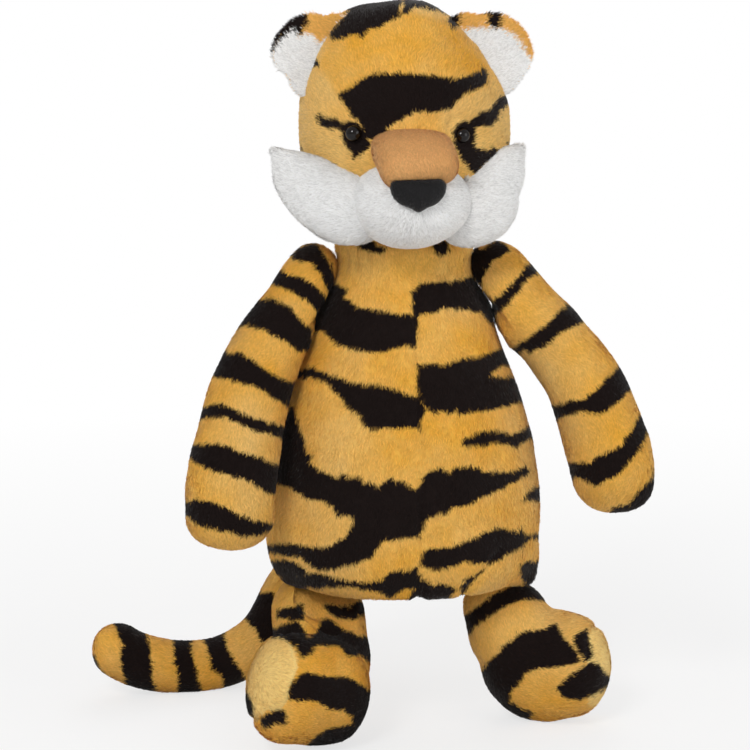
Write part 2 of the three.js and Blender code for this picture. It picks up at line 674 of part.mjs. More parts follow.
const figure = new THREE.Group();
figure.add(...makeTorso(), makeNeckSeam(), ...makeHead(), ...makeFace());
figure.add(makeEar(1), makeEar(-1), ...makeArm("left"), ...makeArm("right"));
figure.add(...makeLeg("left"), ...makeLeg("right"), ...makeTail());
figure.updateMatrixWorld(true);
const reach = new THREE.Box3().setFromObject(figure, true);
const middle = reach.getCenter(vec(0, 0, 0));
figure.position.set(-middle.x, -middle.y, -reach.min.z);

const tiger = new THREE.Group();
tiger.add(figure);

export default tiger;
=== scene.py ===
import math

import bpy
import numpy as np
from mathutils import Matrix, Vector


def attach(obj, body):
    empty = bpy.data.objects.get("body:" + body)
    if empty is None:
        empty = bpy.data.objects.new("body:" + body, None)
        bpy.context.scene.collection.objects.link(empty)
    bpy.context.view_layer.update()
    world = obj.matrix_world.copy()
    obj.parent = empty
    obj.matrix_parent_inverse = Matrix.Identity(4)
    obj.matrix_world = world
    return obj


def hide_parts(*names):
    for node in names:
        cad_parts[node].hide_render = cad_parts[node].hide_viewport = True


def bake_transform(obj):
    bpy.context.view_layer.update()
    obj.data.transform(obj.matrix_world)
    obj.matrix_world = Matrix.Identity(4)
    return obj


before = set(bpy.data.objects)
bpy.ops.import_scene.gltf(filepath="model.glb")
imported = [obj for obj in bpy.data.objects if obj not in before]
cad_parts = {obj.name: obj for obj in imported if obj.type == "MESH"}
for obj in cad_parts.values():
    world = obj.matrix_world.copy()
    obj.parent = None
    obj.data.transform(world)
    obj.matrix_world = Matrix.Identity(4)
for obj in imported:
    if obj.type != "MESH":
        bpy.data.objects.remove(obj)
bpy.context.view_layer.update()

# Stage: the camera stands where the photograph was taken from, a little to the toy's right and above.
# Under the toy lies a pale floor, and soft light comes from all round. Lengths are millimetres here,
# up to the moment that a mesh is made.

scene = bpy.context.scene
scene.view_settings.view_transform = "Standard"
metres = 0.001
photo_side = 750
focal_pixels = 2860
camera_turn, camera_rise = math.radians(-6), math.radians(10)
camera_away = 1200
camera_aim = np.array([1.99, -3.84, 148.3])
to_camera = np.array([
    math.cos(camera_rise) * math.sin(camera_turn),
    -math.cos(camera_rise) * math.cos(camera_turn),
    math.sin(camera_rise)])
photo_right = np.array([math.cos(camera_turn), math.sin(camera_turn), 0])
photo_up = np.cross(to_camera, photo_right)


def photo_spots(points):
    """Where points lie in the photograph, in its pixels."""
    seen = points - camera_aim
    scale = focal_pixels / (camera_away - seen @ to_camera)
    return photo_side / 2 + np.stack([seen @ photo_right * scale, -(seen @ photo_up) * scale], axis=1)


def aimed(thing, place, aim):
    """Puts a lamp or a camera at a place, with its front towards an aim."""
    thing.location = Vector(place) * metres
    thing.rotation_euler = (Vector(aim) - Vector(place)).to_track_quat("-Z", "Y").to_euler()
    scene.collection.objects.link(thing)
    return thing


lens = bpy.data.cameras.new("camera")
lens.sensor_width = 36
lens.lens = focal_pixels / photo_side * lens.sensor_width
camera = bpy.data.objects.new("camera", lens)
scene.camera = aimed(camera, camera_aim + to_camera * camera_away, camera_aim)

for name, place, size, watts in [
        ("key_lamp", (-650, -1250, 1150), 450, 10.5),
        ("fill_lamp", (1150, -900, 500), 900, 4.5),
        ("back_lamp", (250, 1300, 1100), 900, 6.0)]:
    lamp = bpy.data.lights.new(name, "AREA")
    lamp.size = size * metres
    lamp.energy = watts
    aimed(bpy.data.objects.new(name, lamp), place, (0, 0, 150))


def new_node(tree, kind, inputs=(), output=0, **settings):
    """One output of a new shader node. An input takes a value, or what another node puts out."""
    node = tree.nodes.new("ShaderNode" + kind)
    for setting, value in settings.items():
        setattr(node, setting, value)
    for socket, value in dict(inputs).items():
        if isinstance(value, bpy.types.NodeSocket):
            tree.links.new(value, node.inputs[socket])
        else:
            node.inputs[socket].default_value = value
    return node.outputs[output]


def new_material(name):
    """An empty material, its nodes, and the input that its shader goes to."""
    material = bpy.data.materials.new(name)
    material.use_nodes = True
    tree = material.node_tree
    tree.nodes.clear()
    return material, tree, tree.nodes.new("ShaderNodeOutputMaterial").inputs["Surface"]


scene.world = bpy.data.worlds.new("studio")
scene.world.use_nodes = True
tree = scene.world.node_tree
tree.nodes.clear()
white = (1, 1, 1, 1)
camera_ray = new_node(tree, "LightPath", output="Is Camera Ray")
soft_room = new_node(tree, "Background", {"Color": white, "Strength": 0.52})
white_room = new_node(tree, "Background", {"Color": white})
either = new_node(tree, "MixShader", {0: camera_ray, 1: soft_room, 2: white_room})
tree.links.new(either, tree.nodes.new("ShaderNodeOutputWorld").inputs["Surface"])

material, tree, surface = new_material("pale_floor")
place = new_node(tree, "TexCoord", output="Object")
apart = new_node(tree, "VectorMath", {0: place}, "Value", operation="LENGTH")
whiter = new_node(tree, "MapRange", {
    "Value": apart, "From Min": 0.2, "From Max": 0.7, "To Min": 0.7, "To Max": 1.0})
camera_ray = new_node(tree, "LightPath", output="Is Camera Ray")
share = new_node(tree, "Math", {0: camera_ray, 1: whiter}, operation="MULTIPLY")
paper = new_node(tree, "BsdfDiffuse", {"Color": (0.86, 0.86, 0.86, 1)})
glow = new_node(tree, "Emission", {"Color": white})
tree.links.new(new_node(tree, "MixShader", {0: share, 1: paper, 2: glow}), surface)
floor_half = 6.0
floor_mesh = bpy.data.meshes.new("floor")
floor_corners = [(-1, -1), (1, -1), (1, 1), (-1, 1)]
floor_mesh.from_pydata([(x * floor_half, y * floor_half, 0) for x, y in floor_corners], [], [(0, 1, 2, 3)])
floor_mesh.materials.append(material)
floor = bpy.data.objects.new("floor", floor_mesh)
scene.collection.objects.link(floor)

# Torso: a pear of short golden plush over fibre filling, sewn from two halves, so that its stripes
# don't meet at the seam down the belly and the back. The fabric is a knitted backing with a soft pile,
# and both are made here: a closed backing, and strands that lean down along its nap.

fur_high = 0.6
most_strands = 98000
rng = np.random.default_rng(7)


def smooth_between(stops, at):
    """Values on a smooth curve through evenly spaced stops, at places from 0 to 1."""
    stops = np.asarray(stops, float)
    place = np.clip(np.asarray(at, float), 0, 1) * (len(stops) - 1)
    i = np.minimum(place.astype(int), len(stops) - 2)
    f = place - i if stops.ndim == 1 else (place - i)[..., None]
    a, b, c = stops[np.maximum(i - 1, 0)], stops[i], stops[i + 1]
    d = stops[np.minimum(i + 2, len(stops) - 1)]
    return b + 0.5 * f * (c - a + f * (2 * a - 5 * b + 4 * c - d + f * (3 * (b - c) + d - a)))


def eased(value, start, end):
    """0 before start, 1 after end, and a smooth rise between them."""
    share = np.clip((value - start) / (end - start), 0, 1)
    return share * share * (3 - 2 * share)


def hump(distance, reach):
    """1 at no distance, and fading smoothly to 0 beyond reach."""
    return np.exp(-(distance / reach) ** 2)


def distance_to(points, place):
    """How far points lie from a place."""
    return np.linalg.norm(points - place, axis=1)


def unit(vectors):
    """The vectors' directions, each 1 long."""
    return vectors / np.maximum(np.linalg.norm(vectors, axis=-1, keepdims=True), 1e-9)


def soft_noise(points, size, seed):
    """Smooth noise between -1 and 1, in lumps about as wide as size."""
    place = points / size + seed * 17.31
    cell = np.floor(place).astype(np.int64)
    f = place - cell
    f = f * f * (3 - 2 * f)
    total = np.zeros(len(points))
    for corner in range(8):
        step = np.array([corner & 1, corner >> 1 & 1, corner >> 2 & 1])
        c = cell + step
        mixed = c[:, 0] * 73856093 ^ c[:, 1] * 19349663 ^ c[:, 2] * 83492791 ^ seed * 2654435761
        mixed = (mixed ^ mixed >> 13) * 1274126177 & 0xFFFFFFFF
        value = (mixed ^ mixed >> 16) % 65536 / 32767.5 - 1
        total += value * np.prod(np.where(step == 1, f, 1 - f), axis=1)
    return total


def pear_rings(middle, width, depth, height, base, outline, inset, rings, sides):
    """Level ovals, evenly spaced along the outline of a stuffed form, and taken in by inset."""
    shares = smooth_between(outline, np.linspace(0, 1, 2000))
    half = np.array([width / 2 - inset, depth / 2 - inset])
    level = base + inset + np.clip(shares[:, 1], 0, 1) * (height - 2 * inset)
    path = np.concatenate([[0], np.cumsum(np.hypot(np.diff(shares[:, 0] * half[0]), np.diff(level)))])
    even = np.linspace(0, path[-1], rings + 2)[1:-1]
    wide, level = np.interp(even, path, shares[:, 0]), np.interp(even, path, level)
    turn = np.linspace(0, 2 * np.pi, sides, endpoint=False)
    ring = np.stack([np.cos(turn) * half[0], np.sin(turn) * half[1]], axis=1)
    flat = middle + wide[:, None, None] * ring
    return np.concatenate([flat, np.broadcast_to(level[:, None, None], flat.shape[:2] + (1,))], axis=2)


def face_corners(points, faces):
    """The first, the second and the third corners of all faces."""
    return (points[faces[:, corner]] for corner in range(3))


def closed_skin(rings):
    """Points and faces of a closed skin through rings of points, with its faces outwards."""
    count, sides = rings.shape[:2]
    points = np.concatenate([rings.reshape(-1, 3), rings[:1].mean(axis=1), rings[-1:].mean(axis=1)])
    ring, step = np.meshgrid(np.arange(count - 1), np.arange(sides), indexing="ij")
    here, beside = (ring * sides + step).ravel(), (ring * sides + (step + 1) % sides).ravel()
    around = np.arange(sides)
    after = (around + 1) % sides
    low, high, top = count * sides, count * sides + 1, (count - 1) * sides
    faces = np.concatenate([
        np.stack([here, beside, beside + sides], axis=1),
        np.stack([here, beside + sides, here + sides], axis=1),
        np.stack([np.full(sides, low), after, around], axis=1),
        np.stack([np.full(sides, high), top + around, top + after], axis=1)])
    a, b, c = face_corners(points - points.mean(0), faces)
    inside_out = (a * np.cross(b, c)).sum() <= 0
    return points, faces[:, ::-1] if inside_out else faces


def skin_normals(points, faces):
    """The way straight out of a skin, at each of its points."""
    a, b, c = face_corners(points, faces)
    flat = np.cross(b - a, c - a)
    total = np.zeros_like(points)
    for corner in range(3):
        np.add.at(total, faces[:, corner], flat)
    return unit(total)


def moved_out(points, faces, amount):
    """A skin with each point moved along its normal."""
    return points + skin_normals(points, faces) * np.reshape(amount, (-1, 1))


def depth_inside(spots, outlines):
    """How many pixels each spot lies inside the nearest outline, or minus how many outside it."""
    best = np.full(len(spots), -60.0)
    for outline in outlines:
        corners = np.array(outline, float)
        near = ((spots > corners.min(0) - 25) & (spots < corners.max(0) + 25)).all(axis=1)
        p = spots[near]
        apart, inside = np.full(len(p), 1e9), np.zeros(len(p), bool)
        for a, b in zip(corners, np.roll(corners, -1, axis=0)):
            edge = b - a
            along = np.clip(((p - a) @ edge) / max(edge @ edge, 1e-9), 0, 1)
            apart = np.minimum(apart, np.linalg.norm(p - a - along[:, None] * edge, axis=1))
            if a[1] != b[1]:
                cross = (a[1] > p[:, 1]) != (b[1] > p[:, 1])
                inside ^= cross & (p[:, 0] < a[0] + (p[:, 1] - a[1]) / (b[1] - a[1]) * edge[0])
        best[near] = np.maximum(best[near], np.where(inside, apart, -apart))
    return best


def near_line(points, line, reach):
    """1 where the camera sees points on an outline, or a line drawn there and back, and less beside it."""
    return hump(depth_inside(photo_spots(points), [line]), reach)


def ragged(points, depth):
    """A stripe's edge with the small bites that the pile gives it."""
    bite = 1.3
    return depth + bite * (soft_noise(points, 1.9, 3) + 0.8 * soft_noise(points, 5.5, 4))


def make_piece(name, points, faces, material, attributes, normals=None):
    """A mesh object from points in mm, with one value of each attribute for each point."""
    mesh = bpy.data.meshes.new(name)
    mesh.vertices.add(len(points))
    mesh.vertices.foreach_set("co", (points * metres).astype(np.float32).ravel())
    mesh.loops.add(faces.size)
    mesh.loops.foreach_set("vertex_index", faces.astype(np.int32).ravel())
    mesh.polygons.add(len(faces))
    mesh.polygons.foreach_set("loop_start", np.arange(0, faces.size, 3, dtype=np.int32))
    mesh.polygons.foreach_set("use_smooth", np.ones(len(faces), bool))
    mesh.update()
    place = mesh.attributes.new("place", "FLOAT_VECTOR", "POINT")
    place.data.foreach_set("vector", (points * metres).astype(np.float32).ravel())
    for key, values in attributes.items():
        layer = mesh.attributes.new(key, "FLOAT", "POINT")
        layer.data.foreach_set("value", np.asarray(values, np.float32))
    if normals is not None:
        mesh.normals_split_custom_set_from_vertices(normals.astype(np.float32))
    mesh.materials.append(material)
    piece = bpy.data.objects.new(name, mesh)
    scene.collection.objects.link(piece)
    return piece


def tilted(ways, towards, angles):
    """Ways, each turned by its own angle towards another way at right angles to it."""
    return ways * np.cos(angles)[:, None] + towards * np.sin(angles)[:, None]


def lay_pile(
        name, points, faces, material, nap, marks,
        density=5.0, length=2.4, width=0.34, rise=0.55, stray=1.0):
    """Strands of pile on a skin. Each is a slim bent leaf of two triangles that leans along the nap."""
    below_skin, above_floor = 0.2, 0.05
    a, b, c = face_corners(points, faces)
    area = np.linalg.norm(np.cross(b - a, c - a), axis=1) / 2
    count = int(min(area.sum() * density, most_strands))
    face = np.sort(rng.choice(len(faces), count, p=area / area.sum()))
    u, v = rng.random(count), rng.random(count)
    over = u + v > 1
    u[over], v[over] = 1 - u[over], 1 - v[over]
    shares = np.stack([1 - u - v, u, v], axis=1)
    on_face = lambda values: np.einsum("ij,ij...->i...", shares, values[faces[face]])
    root, out = on_face(points), unit(on_face(skin_normals(points, faces)))
    lean = nap(root, out)
    lean = unit(lean - out * np.einsum("ij,ij->i", lean, out)[:, None])
    side = np.cross(lean, out)
    swirl = 0.34 * rng.standard_normal(count) + 0.5 * soft_noise(root, 9, 11)
    lean, side = tilted(lean, side, swirl), tilted(side, -lean, swirl)
    long = length * (0.72 + 0.5 * rng.random(count)) * (1 + 0.2 * soft_noise(root, 12, 12))
    low_rise = rise * (0.52 + 0.12 * rng.standard_normal(count))
    high_rise = rise * (0.16 + 0.1 * rng.standard_normal(count))
    roll = 0.3 * rng.standard_normal(count)
    wide = tilted(side, out, roll) * (width / 2)
    middle = root + tilted(lean, out, low_rise) * (0.45 * long)[:, None]
    tip = middle + tilted(lean, out, high_rise) * (0.55 * long)[:, None]
    strand = np.stack([root - out * below_skin, middle + wide, middle - wide, tip], axis=1).reshape(-1, 3)
    strand[:, 2] = np.maximum(strand[:, 2], above_floor)
    first = np.arange(count)[:, None] * 4
    leaves = np.concatenate([first + [0, 1, 2], first + [2, 1, 3]], axis=1).reshape(-1, 3)
    values = marks(root + lean * (0.5 * long)[:, None], stray * rng.standard_normal(count))
    attributes = {key: np.repeat(value, 4) for key, value in values.items()}
    attributes["shade"] = np.repeat(rng.random(count), 4)
    # The share along each strand from root to tip; the shader paints shade near the root.
    attributes["along"] = np.tile([0.0, 0.5, 0.5, 1.0], count)
    normals = unit(out + 0.17 * rng.standard_normal((count, 3)) + 0.1 * lean)
    piece = make_piece(name, strand, leaves, material, attributes, np.repeat(normals, 4, axis=0))
    columns = math.ceil(math.sqrt(count))
    cell = np.stack([np.arange(count) % columns, np.arange(count) // columns], axis=1) / columns
    corner = np.array([[0.5, 0.1], [0.9, 0.5], [0.1, 0.5], [0.5, 0.9]]) / columns
    spots = (cell[:, None, :] + corner[None]).reshape(-1, 2)
    own_map = piece.data.uv_layers.new(name="OFBake")
    own_map.data.foreach_set("uv", spots[leaves.ravel()].astype(np.float32).ravel())
    return piece


def colour(red, green, blue):
    """A colour as it looks on screen, from 0 to 255, as the shader's light values."""
    values = np.array([red, green, blue]) / 255
    return (*np.where(values <= 0.04045, values / 12.92, ((values + 0.055) / 1.055) ** 2.4), 1)


def fur_shades():
    """The fur's shader group: two tones in soft patches, strands apart, dark stripes, painted shade at
    roots.
    """
    group = bpy.data.node_groups.new("Fur shades", "ShaderNodeTree")
    for kind, sockets in [
            ("Vector", ["Place"]), ("Float", ["Stripe", "Trim", "Glow", "Shade", "Along"]),
            ("Color", ["Tone", "Bright Tone", "Stripe Tone", "Trim Tone"]), ("Float", ["Patch Scale"])]:
        for socket in sockets:
            group.interface.new_socket(socket, in_out="INPUT", socket_type="NodeSocket" + kind)
    group.interface.new_socket("Color", in_out="OUTPUT", socket_type="NodeSocketColor")
    group.interface.new_socket("Height", in_out="OUTPUT", socket_type="NodeSocketFloat")
    given = group.nodes.new("NodeGroupInput").outputs
    result = group.nodes.new("NodeGroupOutput").inputs

    def mixed(share, low, high):
        return new_node(group, "Mix", {0: share, 6: low, 7: high}, 2, data_type="RGBA")

    def ranged(value, low, high, to_low, to_high):
        return new_node(group, "MapRange", {
            "Value": value, "From Min": low, "From Max": high, "To Min": to_low, "To Max": to_high})

    patches = new_node(group, "TexNoise", {
        "Vector": given["Place"], "Scale": given["Patch Scale"], "Detail": 3}, "Fac")
    fleck = new_node(group, "TexNoise", {"Vector": given["Place"], "Scale": 900, "Detail": 2}, "Fac")
    patchy = ranged(patches, 0.36, 0.64, -0.16, 0.16)
    glow = new_node(group, "Math", {0: given["Glow"], 1: patchy}, operation="ADD", use_clamp=True)
    tone = mixed(glow, given["Tone"], given["Bright Tone"])
    tone = mixed(given["Trim"], tone, given["Trim Tone"])
    tone = mixed(given["Stripe"], tone, given["Stripe Tone"])
    strand_level = ranged(given["Shade"], 0, 1, 0.84, 1.13)
    # Painted shade: each strand is darker towards its root, where the pile above it would shade it.
    root_shade_level = ranged(given["Along"], 0, 1, 0.88, 1.08)
    level = new_node(group, "Math", {0: strand_level, 1: root_shade_level}, operation="MULTIPLY")
    lit = new_node(group, "VectorMath", {0: tone, "Scale": level}, operation="SCALE")
    group.links.new(lit, result["Color"])
    group.links.new(fleck, result["Height"])
    return group


fur_group = fur_shades()


stripe_black = colour(27, 18, 16)


def fur_material(name, tone, bright, trim, patch_scale, sheen=0.12, roughness=0.9):
    """Plush fabric. Its masks come with the mesh, and its group mixes the colours."""
    material, tree, surface = new_material(name)
    masks = {}
    for key in ("place", "stripe", "trim", "glow", "shade", "along"):
        kind = "Vector" if key == "place" else "Fac"
        masks[key.title()] = new_node(tree, "Attribute", output=kind, attribute_name=key)
    shades = new_node(tree, "Group", {
        **masks, "Tone": tone, "Bright Tone": bright, "Stripe Tone": stripe_black, "Trim Tone": trim,
        "Patch Scale": patch_scale}, "Color", node_tree=fur_group)
    bump = new_node(tree, "Bump", {
        "Strength": 0.25, "Distance": 0.0006, "Height": shades.node.outputs["Height"]}, "Normal")
    skin = new_node(tree, "BsdfPrincipled", {
        "Base Color": shades, "Normal": bump, "Roughness": roughness, "Specular IOR Level": 0.12,
        "Sheen Weight": sheen, "Sheen Roughness": 0.45})
    tree.links.new(skin, surface)
    return material


gold_fur = fur_material(
    "gold_fur", colour(244, 201, 119), colour(243, 181, 62), colour(255, 220, 138), 60)


def fur_marks(stripes=(), warp=None, trims=(), glow=None):
    """What marks a place on the fur, from 0 to 1: a dark stripe, trim of another colour and an orange
    glow. Stripes and trims are outlines in the photograph, or functions for the depth inside them."""
    def marks(points, strays=0.0):
        spots = photo_spots(points)
        if warp is not None:
            spots = spots + warp(points)
        found = {}
        for key, given in (("stripe", stripes), ("trim", trims)):
            depth = given(spots, points) if callable(given) else depth_inside(spots, given)
            found[key] = eased(ragged(points, depth) + strays, -1.3, 1.3)
        level = 0.5 if glow is None else glow(spots, points)
        level = level + 0.42 * soft_noise(points, 30, 41) + 0.14 * soft_noise(points, 9, 42)
        found["glow"] = np.clip(level, 0, 1)
        return found
    return marks


def dress(name, points, faces, material, nap, marks, slot, **pile):
    """The backing and the pile of one stuffed piece, as two meshes."""
    found = marks(points)
    found["shade"] = 0.5 + 0.3 * soft_noise(points, 3, 21)
    # The backing under the pile gets painted shade, about as dark as the strands near their roots.
    found["along"] = np.full(len(points), 0.15)
    backing = make_piece(name + "_backing", points, faces, material, found)
    strands = lay_pile(name + "_pile", points, faces, material, nap, marks, **pile)
    return backing, strands


torso_middle = np.array([13.69, -8.09])
torso_base, torso_tall = 60, 140
torso_size = (117, 94, torso_tall, torso_base)
torso_outline = [
    [0, 0], [0.5, 0], [0.8, 0.01], [0.93, 0.06], [0.985, 0.12], [1, 0.2], [0.985, 0.34],
    [0.915, 0.5], [0.8, 0.66], [0.69, 0.77], [0.56, 0.88], [0.45, 0.96], [0.34, 1], [0, 1]]
belly_seam = [
    (417, 200), (417, 395), (422, 426), (426, 458), (424, 480), (420, 530), (418, 600), (418, 640),
    (418.5, 600), (420.5, 530), (424.5, 480), (426.5, 458), (422.5, 426), (417.5, 395), (417.5, 200)]
torso_stripes = {
    "left chest": [
        (255, 300), (300, 283), (329, 274), (334, 282), (347, 290), (344, 298), (357, 306), (371, 310),
        (384, 312), (401, 313), (417, 315), (417, 349), (404, 345), (386, 352), (357, 351), (337, 345),
        (324, 332), (300, 335), (255, 338)],
    "left waist": [
        (255, 362), (298, 371), (314, 366), (318, 371), (334, 376), (354, 384), (379, 386), (401, 391),
        (417, 397), (424, 404), (427, 410), (421, 421), (421, 432), (410, 427), (389, 428), (371, 431),
        (362, 425), (359, 416), (347, 406), (337, 394), (327, 384), (312, 377), (299, 379), (255, 392)],
    "right chest": [
        (410, 292), (421, 283), (431, 282), (446, 282), (461, 279), (471, 277), (560, 262), (560, 322),
        (493, 328), (488, 322), (481, 313), (468, 311), (451, 309), (443, 308), (436, 313), (421, 314),
        (418, 318), (417, 326), (411, 307)],
    "right waist": [
        (418, 365), (434, 365), (446, 364), (463, 359), (481, 356), (491, 352), (500, 349), (560, 338),
        (560, 366), (503, 366), (492, 371), (492, 377), (510, 377), (560, 378), (560, 398), (521, 403),
        (511, 405), (496, 409), (486, 411), (478, 412), (468, 412), (461, 415), (456, 410), (449, 415),
        (446, 411), (441, 410), (437, 414), (427, 409), (421, 401), (418, 391)],
    "right thin": [
        (457, 443), (468, 438), (476, 433), (488, 431), (501, 432), (511, 436), (521, 431), (528, 426),
        (560, 418), (560, 436), (533, 438), (523, 443), (517, 448), (508, 445), (496, 443), (483, 446),
        (468, 447)],
    "long low": [
        (255, 425), (287, 416), (291, 406), (296, 416), (304, 438), (307, 453), (312, 457), (310, 463),
        (322, 471), (334, 476), (338, 478), (343, 472), (347, 477), (360, 477), (364, 483), (379, 486),
        (386, 481), (391, 477), (396, 483), (404, 483), (415, 491), (419, 488), (423, 477), (431, 471),
        (441, 468), (450, 474), (456, 467), (471, 467), (483, 470), (493, 473), (503, 472), (516, 471),
        (525, 466), (531, 471), (525, 477), (511, 483), (500, 491), (488, 494), (474, 501), (464, 506),
        (451, 508), (447, 514), (434, 516), (425, 521), (424, 528), (419, 537), (401, 539), (385, 541),
        (377, 548), (372, 558), (357, 564), (342, 568), (326, 570), (317, 570), (309, 565), (300, 558),
        (282, 554), (255, 552), (255, 545), (294, 544), (319, 548), (334, 545), (344, 538), (349, 531),
        (353, 524), (353, 518), (347, 516), (338, 518), (332, 508), (324, 502), (309, 499), (297, 492),
        (287, 486), (255, 480)],
    "right patch": [(522, 501), (531, 488), (541, 486), (560, 478), (560, 504), (541, 502), (531, 501)],
    "right low": [
        (421, 555), (427, 550), (441, 548), (456, 546), (466, 541), (478, 537), (491, 529), (503, 529),
        (518, 533), (521, 527), (523, 531), (526, 537), (531, 534), (537, 534), (560, 530), (560, 540),
        (537, 538), (528, 541), (521, 548), (508, 555), (496, 562), (491, 564), (478, 563), (461, 563),
        (451, 567), (434, 569), (421, 565), (420, 560)],
    "seat": [
        (280, 572), (322, 574), (334, 578), (352, 581), (366, 583), (381, 580), (389, 574), (401, 570),
        (417, 568), (420, 574), (421, 580), (431, 583), (444, 584), (450, 586), (456, 590), (450, 598),
        (436, 615), (404, 615), (411, 593), (414, 589), (404, 589), (396, 595), (389, 598), (379, 592),
        (366, 590), (360, 590), (357, 588), (334, 587), (280, 590)],
    "seat right": [
        (461, 583), (466, 578), (476, 574), (488, 566), (482, 573), (474, 580), (466, 590), (461, 596)],
    "neck left": [(359, 236), (371, 236), (377, 247), (386, 249), (386, 253), (366, 251), (358, 246)],
    "neck right": [(432, 242), (447, 241), (449, 251), (443, 256), (434, 253)],
    "hip patch": [
        (520, 566), (524, 563), (533, 561), (560, 561), (560, 590), (529, 592), (524, 588), (523, 583),
        (520, 577)],
    "hip mark": [(255, 562), (285, 560), (296, 563), (306, 569), (303, 577), (290, 578), (255, 574)]}


def behind(points, middle):
    """How far points lie behind a piece's middle, as the camera sees it."""
    return -(points - middle) @ to_camera


def filling_lumps(points, amount, size, seeds):
    """The lumps of fibre under the fabric: wide ones of the given size, and small ones between them."""
    return amount * soft_noise(points, size, seeds[0]) + 0.3 * soft_noise(points, 8, seeds[1])


def back_warp(middle, wave=9.0):
    """The stripes wander up and down on the side that the camera doesn't see."""
    def warp(points):
        share = eased(behind(points, middle), 4, 40)
        drift = wave * share * soft_noise(points, 34, 31)
        return np.stack([0.6 * drift, drift + 3 * share * soft_noise(points, 13, 32)], axis=1)
    return warp


points, faces = closed_skin(
    pear_rings(torso_middle, *torso_size, torso_outline, fur_high, rings=130, sides=200))
seam_near = near_line(points, belly_seam, 4.0)
thigh_fold = [(502, 550), (482, 572), (462, 594), (482, 572)]
fold_near = near_line(points, thigh_fold, 3.0) * (points[:, 1] < 0)
bulge_depth = -8
torso_bulges = [(-52, 63, 12, 2.8), (51, 60, 10.5, 6.4), (52, 60.5, 6, 2.6), (34, 181, 9, 2.0)]
corners = sum(
    bulge * hump(distance_to(points, [torso_middle[0] + across, bulge_depth, level]), spread)
    for across, level, spread, bulge in torso_bulges)
lumps = filling_lumps(points, 0.7, 26, (1, 51))
seam_deep, fold_deep = 1.3, 1.2
points = moved_out(points, faces, lumps - seam_deep * seam_near - fold_deep * fold_near + corners)
flank_in, armpit_in, armpit_level = 1.1, 1.8, 160
across = points[:, 0] - torso_middle[0]
flank = eased(across, 20, 45) * eased(points[:, 2], 68, 80) * eased(-points[:, 2], -175, -150)
armpit = eased(across, 12, 30) * hump(points[:, 2] - armpit_level, 12)
points[:, 0] -= flank_in * flank + armpit_in * armpit
torso_centre = np.array([*torso_middle, torso_base + torso_tall / 2])
down_nap = lambda roots, out: np.array([0, 0, -1.0]) + 0.25 * unit((roots - torso_centre) * [1, 1, 0])
torso_pieces = dress(
    "torso", points, faces, gold_fur, down_nap,
    fur_marks(torso_stripes.values(), back_warp(torso_centre)), "gold_fur")
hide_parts("torso_cover", "torso_stuffing", "pellet_pouch")
for piece in torso_pieces:
    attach(piece, "torso")

# Neck: the torso's fabric, drawn together in small gathers under the head. It is sewn to the head all
# round and turns with it.

neck_middle = np.array([torso_middle[0], -7.09, 0])
neck_turns = np.linspace(0, 2 * np.pi, 160, endpoint=False)
gather_stops = [
    (22, 184), (29.3, 186.5), (29.4, 189), (28, 193.5), (27.4, 199), (28, 203), (26, 207), (16, 210)]
neck_rings = []
for level in np.linspace(0, 1, 28):
    radius, height = smooth_between(gather_stops, level)
    fold = 1 + 0.02 * level * np.sin(neck_turns * 26 + 1.5 * np.sin(neck_turns * 3))
    neck_rings.append(neck_middle + np.stack([
        np.cos(neck_turns) * radius * fold, np.sin(neck_turns) * radius * fold * 0.8,
        np.full(len(neck_turns), height)], axis=1))
points, faces = closed_skin(np.array(neck_rings))
neck_pieces = dress(
    "neck_gather", points, faces, gold_fur, down_nap, fur_marks(torso_stripes.values()), "gold_fur")
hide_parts("neck_seam")
for piece in neck_pieces:
    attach(piece, "neck")

# Head: a stuffed ball of the same plush, a little flat in front and sewn on the gathered neck. It has a
# dark patch over the brow, small dimples where the eyes pull the fabric in, and stripes on its back that
# meet those of its sides.

